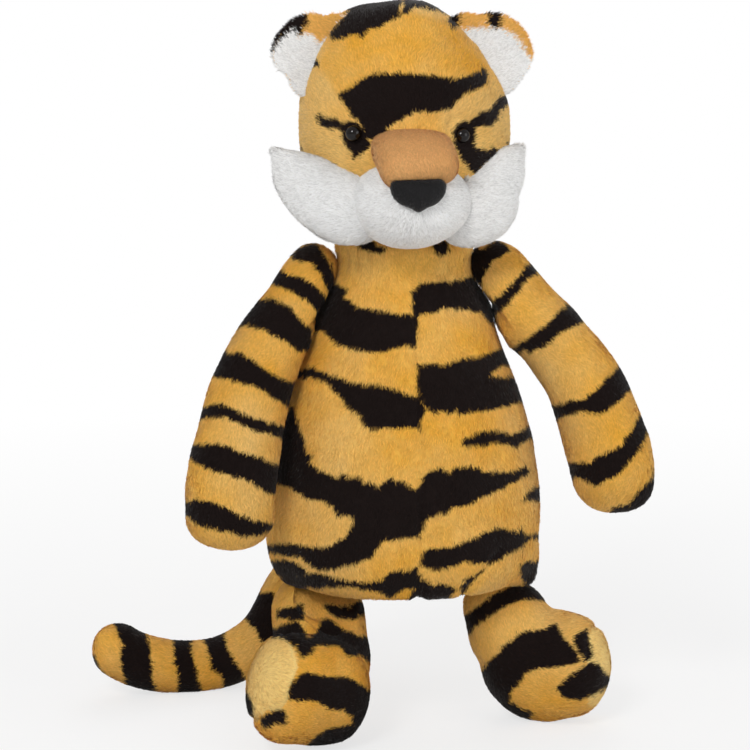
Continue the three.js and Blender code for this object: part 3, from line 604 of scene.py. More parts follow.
head_middle = neck_middle[:2]
head_base, head_tall = 206, 97
head_size = (87, 82, head_tall, head_base)
head_outline = [
    [0, 0], [0.45, 0], [0.62, 0.04], [0.82, 0.13], [0.93, 0.25], [0.985, 0.37], [1, 0.5],
    [0.98, 0.65], [0.89, 0.77], [0.76, 0.875], [0.62, 0.95], [0.45, 0.99], [0.24, 1], [0, 1]]
head_centre = np.array([*head_middle, head_base + head_tall / 2])
head_stripes = {
    "brow": [
        (338, 95), (349, 89), (363, 80), (375, 74), (394, 73), (416, 74), (432, 76), (453, 79), (467, 77),
        (479, 72), (482, 65), (488, 74), (486, 84), (477, 89), (463, 95), (455, 102), (451, 110),
        (434, 112), (414, 113), (402, 119), (391, 125), (387, 130), (395, 131), (391, 136), (371, 140),
        (365, 137), (363, 127), (357, 120), (351, 116), (349, 110), (343, 102)],
    "crown left": [
        (330, 33), (338, 23), (347, 12), (352, -15), (404, -15), (403, 3), (399, 10), (400, 16), (391, 22),
        (383, 27), (371, 29), (363, 37), (355, 35), (343, 39), (332, 40)],
    "crown right": [
        (404, 6), (403, 3), (402, -15), (450, -15), (456, 8), (450, 15), (442, 14), (426, 10), (414, 8),
        (408, 14), (402, 14)],
    "by the ear": [(451, 14), (457, 16), (457, 27), (451, 31), (448, 23)],
    "temple": [(309, 58), (314, 57), (320, 67), (314, 67), (309, 64)],
    "left eye": [
        (317, 114), (321, 115), (326, 118), (337, 120), (345, 123), (352, 120), (360, 124), (366, 132),
        (372, 146), (364, 153), (354, 159), (351, 152), (345, 145), (342, 137), (341, 131), (334, 129),
        (325, 128), (319, 125)],
    "left jaw": [
        (285, 136), (297, 137), (302, 149), (310, 157), (318, 161), (336, 165), (324, 167), (312, 161),
        (302, 155), (285, 154)],
    "right temple": [
        (458, 129), (467, 125), (479, 112), (489, 110), (498, 98), (507, 94), (530, 90), (530, 108),
        (506, 106), (500, 110), (498, 120), (489, 127), (475, 127), (465, 135), (458, 135)],
    "right eye": [
        (453, 128), (463, 127), (471, 131), (473, 140), (477, 149), (483, 149), (489, 152), (493, 147),
        (498, 150), (502, 149), (500, 156), (489, 162), (481, 168), (475, 175), (469, 172), (463, 162),
        (458, 152), (453, 142)],
    "right lid": [(455, 124), (466, 121), (476, 128), (474, 142), (460, 146), (454, 136)],
    "right jaw": [(507, 145), (511, 137), (530, 132), (530, 150), (511, 150)]}
head_back_stripes = {
    "crown": [
        (350, -15), (456, -15), (452, 12), (440, 26), (420, 20), (400, 40), (380, 30), (352, 46),
        (338, 32)],
    "nape 1": [
        (285, 60), (309, 57), (330, 64), (370, 60), (410, 70), (450, 60), (490, 62), (530, 56), (530, 70),
        (490, 78), (450, 78), (410, 90), (370, 78), (330, 80), (309, 70), (285, 70)],
    "nape 2": [
        (530, 88), (480, 98), (440, 100), (400, 110), (360, 102), (336, 106), (345, 116), (380, 120),
        (420, 124), (460, 116), (500, 112), (530, 110)],
    "nape 3": [
        (285, 136), (310, 140), (350, 136), (390, 148), (430, 138), (470, 140), (530, 132), (530, 150),
        (470, 158), (430, 154), (395, 166), (350, 152), (310, 158), (285, 156)],
    "nape 4": [
        (330, 184), (370, 180), (410, 192), (450, 180), (484, 186), (470, 198), (420, 208), (370, 196),
        (335, 200)]}


def head_depth(spots, points):
    """The front's outlines where the camera looks, and the back's behind."""
    share = eased(behind(points, head_centre), 6, 16)
    front = depth_inside(spots, head_stripes.values())
    back = depth_inside(spots, head_back_stripes.values())
    return front * (1 - share) + back * share


middle_panel = [
    (318, 66), (332, 40), (400, 10), (452, 24), (486, 66), (484, 84), (452, 102), (400, 106), (352, 108),
    (336, 90)]


def brow_glow(spots, points):
    """The middle panel of the head is the most orange, and its sides and back are the palest."""
    in_front = behind(points, head_centre) < 0
    return 0.12 + 0.7 * eased(depth_inside(spots, [middle_panel]), -7, 5) * in_front


points, faces = closed_skin(
    pear_rings(head_middle, *head_size, head_outline, fur_high, rings=110, sides=180))
eye_out, eye_level = 22.5, 252
eye_places = {}
for side in (-1, 1):
    across = head_middle[0] + side * eye_out
    front = points[(np.abs(points[:, 0] - across) < 3) & (np.abs(points[:, 2] - eye_level) < 3)]
    eye_places[side] = front[np.argmin(front[:, 1])]
dimples = sum(hump(distance_to(points, place), 6.5) for place in eye_places.values())
brow_level = 257.5
brow_edge = hump(points[:, 2] - brow_level, 1.8) * (points[:, 1] < -30)
brow_edge = brow_edge * (np.abs(points[:, 0] - head_middle[0]) < 17)
dart = [(449, 104), (452, 118), (448, 136), (452, 118)]
dart_near = near_line(points, dart, 3.0) * (points[:, 1] < -20)
lumps = filling_lumps(points, 0.6, 24, (2, 52))
dimple_deep, dart_deep = 2.0, 1.2
points = moved_out(points, faces, lumps - dimple_deep * dimples - brow_edge - dart_deep * dart_near)
crown_bottom, crown_top = 280, 297
temple_in, temple_bottom, temple_top = 5.0, 256, 286
across = points[:, 0] - head_middle[0]
crown = 1.6 * hump(across, 11) - 3.2 * eased(across, 8, 21)
points[:, 2] += eased(points[:, 2], crown_bottom, crown_top) * crown
points[:, 0] -= temple_in * eased(points[:, 2], temple_bottom, temple_top) * eased(across, 4, 32)
snout_front = np.array([head_middle[0], -60, 236])
back_nap = lambda roots, out: unit(roots - snout_front)
head_pieces = dress(
    "head", points, faces, gold_fur, back_nap, fur_marks(head_depth, glow=brow_glow), "gold_fur")
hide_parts("head_cover", "head_stuffing")
for piece in head_pieces:
    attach(piece, "head")

# Snout bridge: a tan pad over the top of the muzzle, from between the eyes to the nose. Its short pile
# runs down to the nose, and its upper edge is sewn to the brow.


def along_line(stops, shares):
    """Places and ways along a smooth line through stops, at shares of its length, and that length."""
    stops = np.asarray(stops, float)
    ends = np.concatenate([[2 * stops[0] - stops[1]], stops, [2 * stops[-1] - stops[-2]]])
    fine = []
    for i in range(1, len(ends) - 2):
        p0, p1, p2, p3 = ends[i - 1:i + 3]
        d0, d1, d2 = (max(np.linalg.norm(b - a), 1e-4) ** 0.5 for a, b in ((p0, p1), (p1, p2), (p2, p3)))
        v1 = ((p1 - p0) / d0 - (p2 - p0) / (d0 + d1) + (p2 - p1) / d1) * d1
        v2 = ((p2 - p1) / d1 - (p3 - p1) / (d1 + d2) + (p3 - p2) / d2) * d1
        u = np.linspace(0, 1, 60, endpoint=False)[:, None]
        square, cube = 3 * (p2 - p1) - 2 * v1 - v2, 2 * (p1 - p2) + v1 + v2
        fine.append(p1 + v1 * u + square * u ** 2 + cube * u ** 3)
    fine = np.concatenate(fine + [stops[-1:]])
    walked = np.concatenate([[0], np.cumsum(np.linalg.norm(np.diff(fine, axis=0), axis=1))])
    place = lambda s: np.stack([np.interp(s * walked[-1], walked, fine[:, k]) for k in range(3)], axis=1)
    shares = np.asarray(shares, float)
    step = 0.012
    ahead = unit(place(np.clip(shares + step, 0, 1)) - place(np.clip(shares - step, 0, 1)))
    return place(shares), ahead, walked[-1]


def limb_rings(stops, half_across, half_deep, across_hint, rings, sides, domes=(1, 1), squared=1.0):
    """Rings round a smooth line, with a dome over each end. Half sizes are functions of the share along
    the line. The rings are ovals, or squarer where squared is less than 1."""
    t = (1 - np.cos(np.pi * (np.arange(rings) + 0.3) / (rings - 0.4))) / 2
    middle, ahead, long = along_line(stops, t)
    deep_way = unit(np.cross(ahead, across_hint))
    across_way = unit(np.cross(deep_way, ahead))
    across, deep = half_across(t), half_deep(t)
    reach = np.minimum(across, deep) * np.where(t < 0.5, domes[0], domes[1])
    from_end = np.minimum(np.minimum(t, 1 - t) * long / reach, 1)
    rounded = np.sqrt(1 - (1 - from_end) ** 2)
    turn = np.linspace(0, 2 * np.pi, sides, endpoint=False)
    flat, high = (np.sign(wave) * np.abs(wave) ** squared for wave in (np.cos(turn), np.sin(turn)))
    wide = (across * rounded)[:, None, None] * across_way[:, None, :] * flat[None, :, None]
    tall = (deep * rounded)[:, None, None] * deep_way[:, None, :] * high[None, :, None]
    return middle[:, None, :] + wide + tall


def half_size(stops, pile, scale=1):
    """Half of a limb's size along it, on a smooth curve through the stops, less the height of its pile."""
    return lambda t: scale * smooth_between(stops, t) - pile


bridge_line = [(12.0, -36, 248.5), (13.2, -52, 244.5), (15.0, -65, 236.5)]
bridge_wide = [16.8, 16.8, 16.7, 16.4, 14.8]
bridge_deep = [9.4, 9.6, 9.8, 9.4, 8.2]
nose_nap = lambda roots, out: np.array([0, -0.5, -1.0]) + np.zeros_like(roots)
tan_fur = fur_material(
    "tan_fur", colour(230, 172, 106), colour(238, 184, 120), colour(236, 236, 238), 60)
bridge_pile = 0.8
points, faces = closed_skin(limb_rings(
    bridge_line, half_size(bridge_wide, bridge_pile), half_size(bridge_deep, bridge_pile), (1, 0, 0),
    rings=70, sides=110, domes=(0.25, 0.8), squared=0.78))
points = moved_out(points, faces, 0.3 * soft_noise(points, 14, 5))
plain = fur_marks()
bridge_pieces = dress(
    "snout_bridge", points, faces, tan_fur, nose_nap, plain, "tan_fur", density=8, length=1.8, width=0.28)
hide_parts("snout_bridge")
for piece in bridge_pieces:
    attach(piece, "head")

# Muzzle: a round pillow of white plush over fibre filling, with longer and softer pile. It is sewn on the
# head under the bridge.

muzzle_centre = np.array([12.5, -41.09, 225.2])
muzzle_half = np.array([24.7, 23, 18.8])
white_fur = fur_material(
    "white_fur", colour(250, 249, 247), colour(254, 254, 253), colour(243, 186, 96), 40, 0.2)


def egg_rings(centre, half, rings, sides):
    """Level rings of an egg with the given half sizes."""
    rise = np.linspace(-np.pi / 2, np.pi / 2, rings + 2)[1:-1]
    turn = np.linspace(0, 2 * np.pi, sides, endpoint=False)
    flat = np.cos(rise)[:, None]
    grid = np.stack([flat * np.cos(turn), flat * np.sin(turn), np.sin(rise)[:, None] + 0 * turn], axis=2)
    return centre + grid * half


muzzle_pile = 0.7
points, faces = closed_skin(egg_rings(muzzle_centre, muzzle_half - muzzle_pile, rings=70, sides=120))
points = moved_out(points, faces, 0.5 * soft_noise(points, 12, 6))
muzzle_nap = lambda roots, out: (roots - [head_middle[0], -64, 232]) * [1.2, 0.6, 1.0]
muzzle_pieces = dress(
    "muzzle", points, faces, white_fur, muzzle_nap, plain, "white_fur", density=8, length=2.4, width=0.28)
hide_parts("muzzle")
for piece in muzzle_pieces:
    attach(piece, "head")

# Nose: a small padded triangle of black velvet with rounded corners. Its edge is turned in and sewn over
# the tip of the muzzle.

nose_middle = np.array([12.9, -65.6, 231.6])
nose_lean = math.radians(14)
nose_outline = [
    (0, 5.2), (5.6, 5.0), (9.6, 4.2), (10.8, 1.8), (9.9, -1.6), (7.2, -4.2), (3.2, -5.7), (0, -7.3),
    (-3.2, -5.7), (-7.2, -4.2), (-9.9, -1.6), (-10.8, 1.8), (-9.6, 4.2), (-5.6, 5.0), (0, 5.2)]
nose_sides = 96
nose_edge = smooth_between(nose_outline, np.linspace(0, 1, nose_sides + 1)[:-1])


def nose_ring(reach, forward):
    """The nose's outline, drawn in to a share of its size, at one depth."""
    wide, tall = (nose_edge * reach).T
    return np.stack([wide, np.full(nose_sides, forward), tall], axis=1)


nose_rings = []
for rise in np.linspace(0.02, 1, 26) * math.pi / 2:
    nose_rings.append(nose_ring(math.sin(rise), -4.6 * math.cos(rise) ** 0.9))
for reach in np.linspace(0.92, 0.1, 8):
    nose_rings.append(nose_ring(reach, 2.5))
nose_rings = np.array(nose_rings)
nose_rings[..., 1] += 3.4 * (nose_rings[..., 0] / 12) ** 2
cosine, sine = math.cos(nose_lean), math.sin(nose_lean)
points, faces = closed_skin(nose_rings @ [[1, 0, 0], [0, cosine, sine], [0, -sine, cosine]] + nose_middle)
black_velvet = fur_material(
    "black_velvet", colour(33, 32, 33), colour(46, 45, 46), stripe_black, 120, 0.25, 0.7)
velvet_nap = lambda roots, out: out * 0 + [0, -0.2, -1.0]
nose_pieces = dress(
    "nose", points, faces, black_velvet, velvet_nap, plain, "black_velvet",
    density=14, length=0.9, width=0.26, rise=1.2)
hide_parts("nose")
for piece in nose_pieces:
    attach(piece, "head")

# Cheek ruffs: two long pillows of white plush with the longest pile, filled with fibre. They are sewn on
# the head and fan out from under the muzzle.

ruff_radius = 10.5
ruff_thick = [0.7, 0.95, 1, 0.9, 0.7, 0.35]
pile_in_front, pile_above = 1.7, 1.9
ruff_root = (9.35, -38.09, 222)
for name, side, ruff_tall, ruff_route in [
        ("left", 1, [10.5, 15.4, 16.2, 14.0, 10.4, 3.4],
         [ruff_root, (25, -38.09, 221.5), (34, -30, 231.9), (46.2, -22, 245.4)]),
        ("right", -1, [10.5, 15.2, 16.2, 15.0, 10.8, 3.2],
         [ruff_root, (27, -38.09, 223), (42.5, -29, 232.5), (55, -21, 245)])]:
    stops = [(head_middle[0] + side * out, forward, level) for out, forward, level in ruff_route]
    points, faces = closed_skin(limb_rings(
        stops, half_size(ruff_thick, pile_in_front, ruff_radius), half_size(ruff_tall, pile_above),
        (0, 1, 0), rings=90, sides=100))
    points = moved_out(points, faces, 0.5 * soft_noise(points, 15, 7))
    ruff_nap = lambda roots, out: np.array([side, 0.1, 0.05]) + 0.6 * unit(roots - stops[1])
    pieces = dress(
        "cheek_ruff_" + name, points, faces, white_fur, ruff_nap, plain, "white_fur",
        density=8, length=2.8, width=0.28)
    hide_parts("cheek_ruff_" + name)
    for piece in pieces:
        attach(piece, "head")

# Ears: each is a golden back and a white lining, sewn together round the edge and into the head along
# the root. The toy's right ear has a black tip, and a black mark crosses the rim of the left one.

ear_stripes = {
    "right tip": [
        (250, 52), (262, 30), (270, 10), (292, 4), (308, 14), (308, 24), (302, 33), (298, 35), (293, 29),
        (289, 31), (283, 38), (278, 45), (271, 52)],
    "left mark": [(488, 5), (500, 5), (501, 25), (494, 28), (488, 22)],
    "left root mark": [(448, 8), (458, 12), (458, 28), (451, 32), (447, 24)]}
ear_gold = {
    "right rim": [(290, 0), (334, 0), (350, 12), (332, 36), (320, 42), (312, 34), (298, 36)],
    "left rim": [
        (440, 0), (545, 0), (552, 60), (532, 60), (524, 48), (516, 36), (500, 28), (486, 27), (467, 30),
        (450, 32)]}
ears_middle = np.array([12.4, -15, 279.2])
ear_apart, ear_off_root = 33.4, 6.5
ear_half = np.array([18.6, 15, 4])
ear_cup = 3.4
ear_slope = math.radians(27)
ear_in = {"left": 0.8, "right": 0.2}
ear_dent = {"left": 0.2, "right": 0.36}
swelling_rings = 36
around = np.linspace(0, 2 * np.pi, 110, endpoint=False)
from_dent = (around - 0.38 + np.pi) % (2 * np.pi) - np.pi
cornered = 1 + np.maximum(0, -np.cos(around)) * np.maximum(0, -np.sin(around))
for name, side in (("left", 1), ("right", -1)):
    tipward = np.array([side * math.cos(ear_slope), 0, math.sin(ear_slope)])
    downward = np.array([side * math.sin(ear_slope), 0, -math.cos(ear_slope)])
    centre = ears_middle + [side * ear_apart - ear_in[name], 0, 0] + tipward * ear_off_root
    wide = cornered - ear_dent[name] * hump(from_dent, 0.62)
    ear_nap = lambda roots, out, tipward=tipward: tipward + 0 * roots
    for part, way, rim_in, material, slot_name, gold in [
            ("lining", -1, 0.9, white_fur, "white_fur", ear_gold.values()),
            ("back", 1, 1.9, gold_fur, "gold_fur", ())]:
        ear_rings = []
        for level in np.concatenate([np.linspace(0.03, 1, swelling_rings), np.linspace(0.9, 0.05, 10)]):
            swelling = len(ear_rings) < swelling_rings
            reach = math.sin(level * math.pi / 2) if swelling else level
            thick = (ear_half[2] - 1) * math.sqrt(max(1 - reach ** 2, 0)) if swelling else 0.0
            depth = way * thick + ear_cup * (1 - reach ** 2)
            ear_rings.append(
                centre + [0, depth, 0]
                + (np.cos(around) * (ear_half[0] - rim_in) * reach * wide)[:, None] * downward
                + (np.sin(around) * (ear_half[1] - rim_in) * reach * wide)[:, None] * tipward)
        points, faces = closed_skin(np.array(ear_rings))
        pieces = dress(
            f"ear_{part}_{name}", points, faces, material, ear_nap,
            fur_marks(ear_stripes.values(), trims=gold), slot_name,
            density=7, length=2.2, width=0.3, stray=2.2)
        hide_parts(f"ear_{part}_{name}")
        for piece in pieces:
            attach(piece, "head")

# Eyes: small polished beads of black plastic. Each has a stem that goes through the fabric, and a washer
# holds it from behind.

eye_radius, eye_apart, eye_tilt = 3.3, 21.9, 0.6
eyes_middle = np.array([11.3, -41.0, 252.6])
material, tree, surface = new_material("eye_plastic")
speck = new_node(tree, "TexNoise", {"Scale": 700}, "Fac")
gloss = new_node(tree, "MapRange", {"Value": speck, "To Min": 0.05, "To Max": 0.14})
bead = new_node(tree, "BsdfPrincipled", {
    "Base Color": colour(16, 10, 8), "Specular IOR Level": 0.34, "Roughness": gloss})
tree.links.new(bead, surface)
for name, side in (("left", 1), ("right", -1)):
    centre = eyes_middle + [side * eye_apart, 0, -side * eye_tilt]
    points, faces = closed_skin(egg_rings(centre, eye_radius, rings=40, sides=60))
    eye = make_piece("eye_bead_" + name, points, faces, material, {})
    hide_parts("eye_" + name)
    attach(eye, "head")

# Arms: stuffed tubes of the same plush, each closed by a round patch that is sewn flat on the shoulder.
# An arm turns flat on its patch, so it rides whole and nothing of it stretches.


def torso_depth(points, clear):
    """Below 0 where points lie inside the torso's form, grown by clear."""
    least = 1e-3
    shares = smooth_between(torso_outline, np.linspace(0, 1, 400))
    level = torso_base + np.clip(shares[:, 1], 0, 1) * torso_tall
    share = np.interp(points[:, 2], level, shares[:, 0], left=least, right=least)
    half = np.array(torso_size[:2]) / 2 + clear
    flat = (points[:, :2] - torso_middle) / half / np.maximum(share, least)[:, None]
    return np.linalg.norm(flat, axis=1) - 1


def out_of_torso(points, clear):
    """Presses what lies inside the torso's form out to its skin, by the shortest way."""
    probe, longest_move = 0.4, 6
    points = points.copy()
    for _ in range(10):
        depth = torso_depth(points, clear)
        inside = depth < -1e-4
        if not inside.any():
            break
        sunk = points[inside]
        slope = np.stack([
            torso_depth(sunk + step, clear) - torso_depth(sunk - step, clear)
            for step in np.eye(3) * probe], axis=1) / (2 * probe)
        move = -depth[inside][:, None] * slope / np.maximum((slope ** 2).sum(1), 1e-8)[:, None]
        size = np.linalg.norm(move, axis=1, keepdims=True)
        points[inside] = sunk + move * np.minimum(1, longest_move / np.maximum(size, 1e-9))
    return points


def turned(points, pivot, axis, degrees):
    """Points, turned round an axis through the pivot."""
    matrix = np.array(Matrix.Rotation(math.radians(degrees), 3, Vector(axis)))
    return (points - pivot) @ matrix.T + pivot


def clear_of_torso(points, clear, pivot, axis, degrees):
    """A limb's points, pressed clear of the torso at rest, halfway through a swing and at its end."""
    for share in (1, 0.5, 0):
        swung = turned(points, pivot, axis, -share * degrees)
        points = turned(out_of_torso(swung, clear), pivot, axis, share * degrees)
    return points


def line_nap(stops):
    """The pile's way along a limb, from its root to its end."""
    middle, ahead, _ = along_line(stops, np.linspace(0, 1, 60))

    def nap(roots, out):
        nearest = np.argmin(((roots[:, None, :] - middle[None]) ** 2).sum(2), axis=1)
        return ahead[nearest]
    return nap


arm_root, arm_patch_face = 12, 1.9
arm_lean = math.radians(36)
shoulder_out, shoulder_level = 28.56, 187.4
root_sunk, top_sunk = 2.5, 1.5
patch_low, patch_high = 28, 18
limb_clear = 0.35 + fur_high
arm_kinds = {
    "left": dict(
        side=1, across=17.2, deep=19, back=-45, full=[-0.5, 0.5, 0.62, 0.58, 0.84, 1.05, 1.15, 0.7],
        route=[
            (17.2, 2, 7.4), (32.5, 5, 22.5), (46.2, 8, 41.5), (54.3, 12, 62.5), (57.6, 15, 78.5),
            (54, 17, 94.8)],
        stripes={
            "root": [
                (455, 240), (482, 250), (497, 240), (510, 250), (495, 260), (488, 269), (482, 279),
                (481, 288), (475, 277), (455, 275)],
            "shoulder": [
                (526, 266), (540, 256), (552, 266), (527, 279), (518, 292), (507, 305), (497, 313),
                (494, 328), (484, 315), (482, 311), (495, 299), (507, 288), (516, 277)],
            "upper": [
                (505, 356), (518, 345), (531, 335), (542, 328), (554, 316), (567, 305), (580, 292),
                (596, 306), (583, 321), (577, 326), (571, 328), (559, 335), (548, 343), (537, 350),
                (529, 353), (524, 348), (512, 366)],
            "elbow": [
                (540, 404), (556, 405), (569, 401), (584, 398), (595, 390), (603, 382), (616, 368),
                (630, 352), (646, 374), (628, 392), (622, 400), (612, 406), (603, 414), (595, 413),
                (584, 412), (573, 415), (558, 419), (542, 430)],
            "wrist": [
                (550, 458), (569, 462), (582, 463), (592, 462), (597, 455), (607, 452), (620, 447),
                (629, 434), (639, 415), (652, 398), (668, 415), (647, 432), (639, 451), (627, 464),
                (618, 475), (607, 479), (595, 485), (586, 481), (577, 477), (556, 482)],
            "paw": [
                (610, 511), (614, 507), (627, 503), (633, 498), (641, 488), (652, 477), (654, 468),
                (675, 466), (665, 515), (612, 530)]}),
    "right": dict(
        side=-1, across=18.8, deep=17, back=-20, full=[-0.35, 0.14, 0.42, 0.6, 0.76, 0.94, 1, 0.93],
        route=[
            (17, 4, 7.5), (28.9, 12, 24.5), (38.3, 20, 44.5), (43.2, 27, 63.5), (46, 31, 80.5),
            (46.4, 35, 103.5)],
        stripes={
            "root": [
                (290, 256), (301, 248), (316, 244), (326, 258), (334, 274), (338, 300), (332, 316),
                (326, 312), (329, 296), (322, 276), (312, 264), (301, 262)],
            "shoulder": [
                (262, 280), (277, 268), (288, 273), (305, 279), (318, 288), (330, 302), (330, 318),
                (318, 312), (302, 297), (288, 291), (275, 284), (262, 290)],
            "upper": [
                (228, 330), (240, 300), (254, 302), (261, 300), (273, 299), (288, 306), (299, 318),
                (312, 330), (312, 350), (299, 352), (280, 338), (265, 331), (246, 325)],
            "middle": [
                (200, 372), (212, 345), (229, 353), (239, 352), (252, 359), (263, 369), (275, 375),
                (290, 381), (312, 388), (312, 410), (286, 407), (269, 394), (254, 386), (239, 382),
                (217, 378)],
            "thin": [
                (180, 412), (186, 400), (205, 407), (222, 404), (235, 409), (248, 416), (260, 420),
                (286, 427), (310, 430), (310, 446), (285, 441), (271, 434), (260, 433), (246, 428),
                (231, 421), (220, 417), (203, 419)],
            "wrist": [
                (165, 456), (172, 440), (190, 445), (203, 444), (218, 444), (231, 448), (246, 454),
                (261, 458), (275, 464), (284, 469), (312, 476), (312, 500), (284, 494), (268, 494),
                (258, 487), (246, 480), (233, 476), (216, 471), (201, 465), (190, 459)],
            "paw": [
                (165, 512), (172, 497), (188, 502), (197, 499), (210, 502), (222, 506), (235, 513),
                (248, 519), (261, 520), (275, 524), (288, 521), (315, 526), (315, 534), (284, 531),
                (271, 528), (261, 534), (244, 536), (229, 532), (212, 529), (197, 524), (188, 517)]})}
for name, arm in arm_kinds.items():
    side = arm["side"]
    out = np.array([side * math.cos(arm_lean), 0, math.sin(arm_lean)])
    seat = np.array([torso_middle[0] + side * shoulder_out, torso_middle[1], shoulder_level])
    root = seat + out * (arm_patch_face + arm_root - root_sunk)
    top = root + np.array([-out[2] * side, 0, abs(out[0])]) * (arm_root - top_sunk)
    stops = [top, root]
    stops += [seat + np.array([side * wide, -ahead, -down]) for wide, ahead, down in arm["route"]]
    size = lambda end, full=arm["full"]: (
        lambda t: arm_root + (end - arm_root) * smooth_between(full, t) - fur_high)
    points, faces = closed_skin(limb_rings(
        stops, size(arm["across"]), size(arm["deep"]), (1, 0, 0), rings=130, sides=90, domes=(1, 0.8)))
    points = moved_out(points, faces, filling_lumps(points, 0.6, 18, (8, 53)))
    short = np.maximum(0, arm_patch_face + fur_high - (points - seat) @ out)
    short = short * eased(points[:, 2], root[2] - patch_low, root[2] - patch_high)
    points = points + short[:, None] * out
    points = clear_of_torso(points, limb_clear, seat, out * side, arm["back"])
    middle = np.array([root, *stops[2:]]).mean(0)
    arm_pieces = dress(
        "arm_" + name, points, faces, gold_fur, line_nap(stops),
        fur_marks(arm["stripes"].values(), back_warp(middle, 6)), "gold_fur")
    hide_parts("arm_cover_" + name, "arm_stuffing_" + name, "shoulder_patch_" + name)
    for piece in arm_pieces:
        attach(piece, "arm_" + name)

# Legs: each is a short stuffed column of the same plush that bends out into a foot, and its upper end is
# sewn under the torso. The foot ends in an oval sole of paler fabric, with a seam all round that pulls
# the fabric in.


def relaxed(points, faces, rounds):
    """A skin that is smoothed, with each point halfway to the mean of its neighbours in each round."""
    ends = np.concatenate([faces[:, [0, 1]], faces[:, [1, 2]], faces[:, [2, 0]]])
    count = np.bincount(ends[:, 0], minlength=len(points))[:, None]
    for _ in range(rounds):
        total = np.stack([
            np.bincount(ends[:, 0], weights=points[ends[:, 1], axis], minlength=len(points))
            for axis in range(3)], axis=1)
        points = 0.5 * points + 0.5 * total / np.maximum(count, 1)
    return points


def let_go(points, pressed, faces, root, held, rounds):
    """The pressed skin, but as it was near the root, where it is sewn on, and then smoothed."""
    free = eased(distance_to(points, root), *held)[:, None]
    return relaxed(points + (pressed - points) * free, faces, rounds)


def melted(skins, voxel, rounds):
    """One closed skin round several, with the joins between them smoothed."""
    faces = np.concatenate([f + sum(len(p) for p, _ in skins[:k]) for k, (_, f) in enumerate(skins)])
    rough = make_piece("rough", np.concatenate([p for p, _ in skins]), faces, gold_fur, {})
    remesh = rough.modifiers.new("melt", "REMESH")
    remesh.mode = "VOXEL"
    remesh.voxel_size = voxel * metres
    smooth = rough.modifiers.new("smooth", "SMOOTH")
    smooth.factor = 0.5
    smooth.iterations = rounds
    bpy.context.view_layer.update()
    made = bpy.data.meshes.new_from_object(rough.evaluated_get(bpy.context.evaluated_depsgraph_get()))
    bpy.data.objects.remove(rough)
    points = np.zeros(len(made.vertices) * 3, np.float32)
    made.vertices.foreach_get("co", points)
    made.calc_loop_triangles()
    triangles = np.zeros(len(made.loop_triangles) * 3, np.int32)
    made.loop_triangles.foreach_get("vertices", triangles)
    bpy.data.meshes.remove(made)
    return points.reshape(-1, 3).astype(float) / metres, triangles.reshape(-1, 3)


foot_across = 20.4
foot_across_shares = [0.86, 0.97, 1, 1, 0.92]
leg_kinds = {
    "left": dict(
        side=1, ankle=(11, 3), turn=69, lift=60, long=38.2, thigh=4.6, radius=16.6, crease=31,
        hip_radius=14.4, drop=3.5, foot_tall=[19.3, 21.9, 24.5, 22.5, 18.8], sole_up=24.6, stripes={
        "hip": [
            (520, 566), (524, 563), (533, 562), (555, 562), (555, 586), (538, 588), (529, 592), (524, 588),
            (523, 583), (520, 577)],
        "thigh": [
            (450, 620), (468, 613), (476, 607), (486, 601), (494, 595), (503, 589), (512, 585), (523, 583),
            (545, 585), (545, 602), (532, 599), (524, 599), (515, 601), (505, 606), (495, 612), (486, 618),
            (477, 625), (470, 634), (452, 645)],
        "foot": [
            (462, 690), (481, 674), (488, 662), (496, 654), (506, 644), (515, 638), (520, 633), (529, 631),
            (543, 629), (549, 626), (556, 624), (560, 631), (563, 638), (568, 643), (574, 650), (580, 660),
            (578, 664), (568, 665), (556, 666), (545, 668), (537, 669), (529, 670), (523, 674), (521, 682),
            (512, 690), (510, 696), (511, 702), (518, 706), (527, 709), (533, 713), (529, 722), (500, 725),
            (470, 712)],
        "by the sole": [
            (574, 635), (580, 632), (586, 630), (592, 655), (588, 662), (584, 662), (580, 655), (575, 647),
            (572, 642)],
        "toe": [
            (556, 689), (562, 680), (568, 677), (577, 671), (585, 666), (591, 662), (598, 666), (604, 673),
            (612, 680), (610, 687), (601, 691), (591, 696), (579, 700), (568, 699), (561, 695)]}),
    "right": dict(
        side=-1, ankle=(-4, 33), turn=55, lift=30, long=35, thigh=2.8, radius=19.4, crease=27,
        hip_radius=17.15, drop=0, foot_tall=[20.1, 23.4, 23.4, 23, 22.2], sole_up=30, stripes={
        "hip": [
            (262, 562), (292, 560), (305, 566), (315, 573), (305, 578), (292, 578), (276, 575),
            (262, 575)],
        "knee left": [(278, 610), (296, 606), (304, 606), (303, 620), (292, 620), (278, 618)],
        "knee right": [
            (322, 607), (336, 606), (350, 606), (360, 601), (385, 596), (385, 612), (366, 613), (359, 617),
            (352, 621), (343, 621), (336, 617), (328, 612)],
        "bend": [
            (272, 630), (287, 624), (298, 622), (304, 630), (308, 638), (313, 636), (317, 629), (321, 621),
            (328, 619), (334, 622), (344, 630), (357, 635), (370, 637), (392, 641), (392, 673), (373, 665),
            (361, 657), (346, 655), (339, 648), (329, 646), (318, 646), (313, 650), (307, 658), (302, 660),
            (299, 653), (297, 648), (291, 645), (283, 639), (272, 638)],
        "foot": [
            (301, 674), (315, 673), (329, 677), (343, 677), (356, 682), (368, 690), (385, 692), (385, 722),
            (372, 717), (360, 729), (352, 731), (352, 717), (343, 711), (333, 709), (315, 701), (301, 701),
            (290, 701), (290, 690), (296, 680)],
        "heel": [(305, 752), (309, 743), (325, 729), (352, 723), (360, 726), (352, 745), (325, 752)],
        "edge": [(226, 688), (245, 690), (250, 698), (255, 709), (254, 715), (246, 716), (226, 708)],
        "toe": [(260, 719), (268, 714), (277, 710), (286, 711), (286, 722), (275, 725), (265, 728)]})}
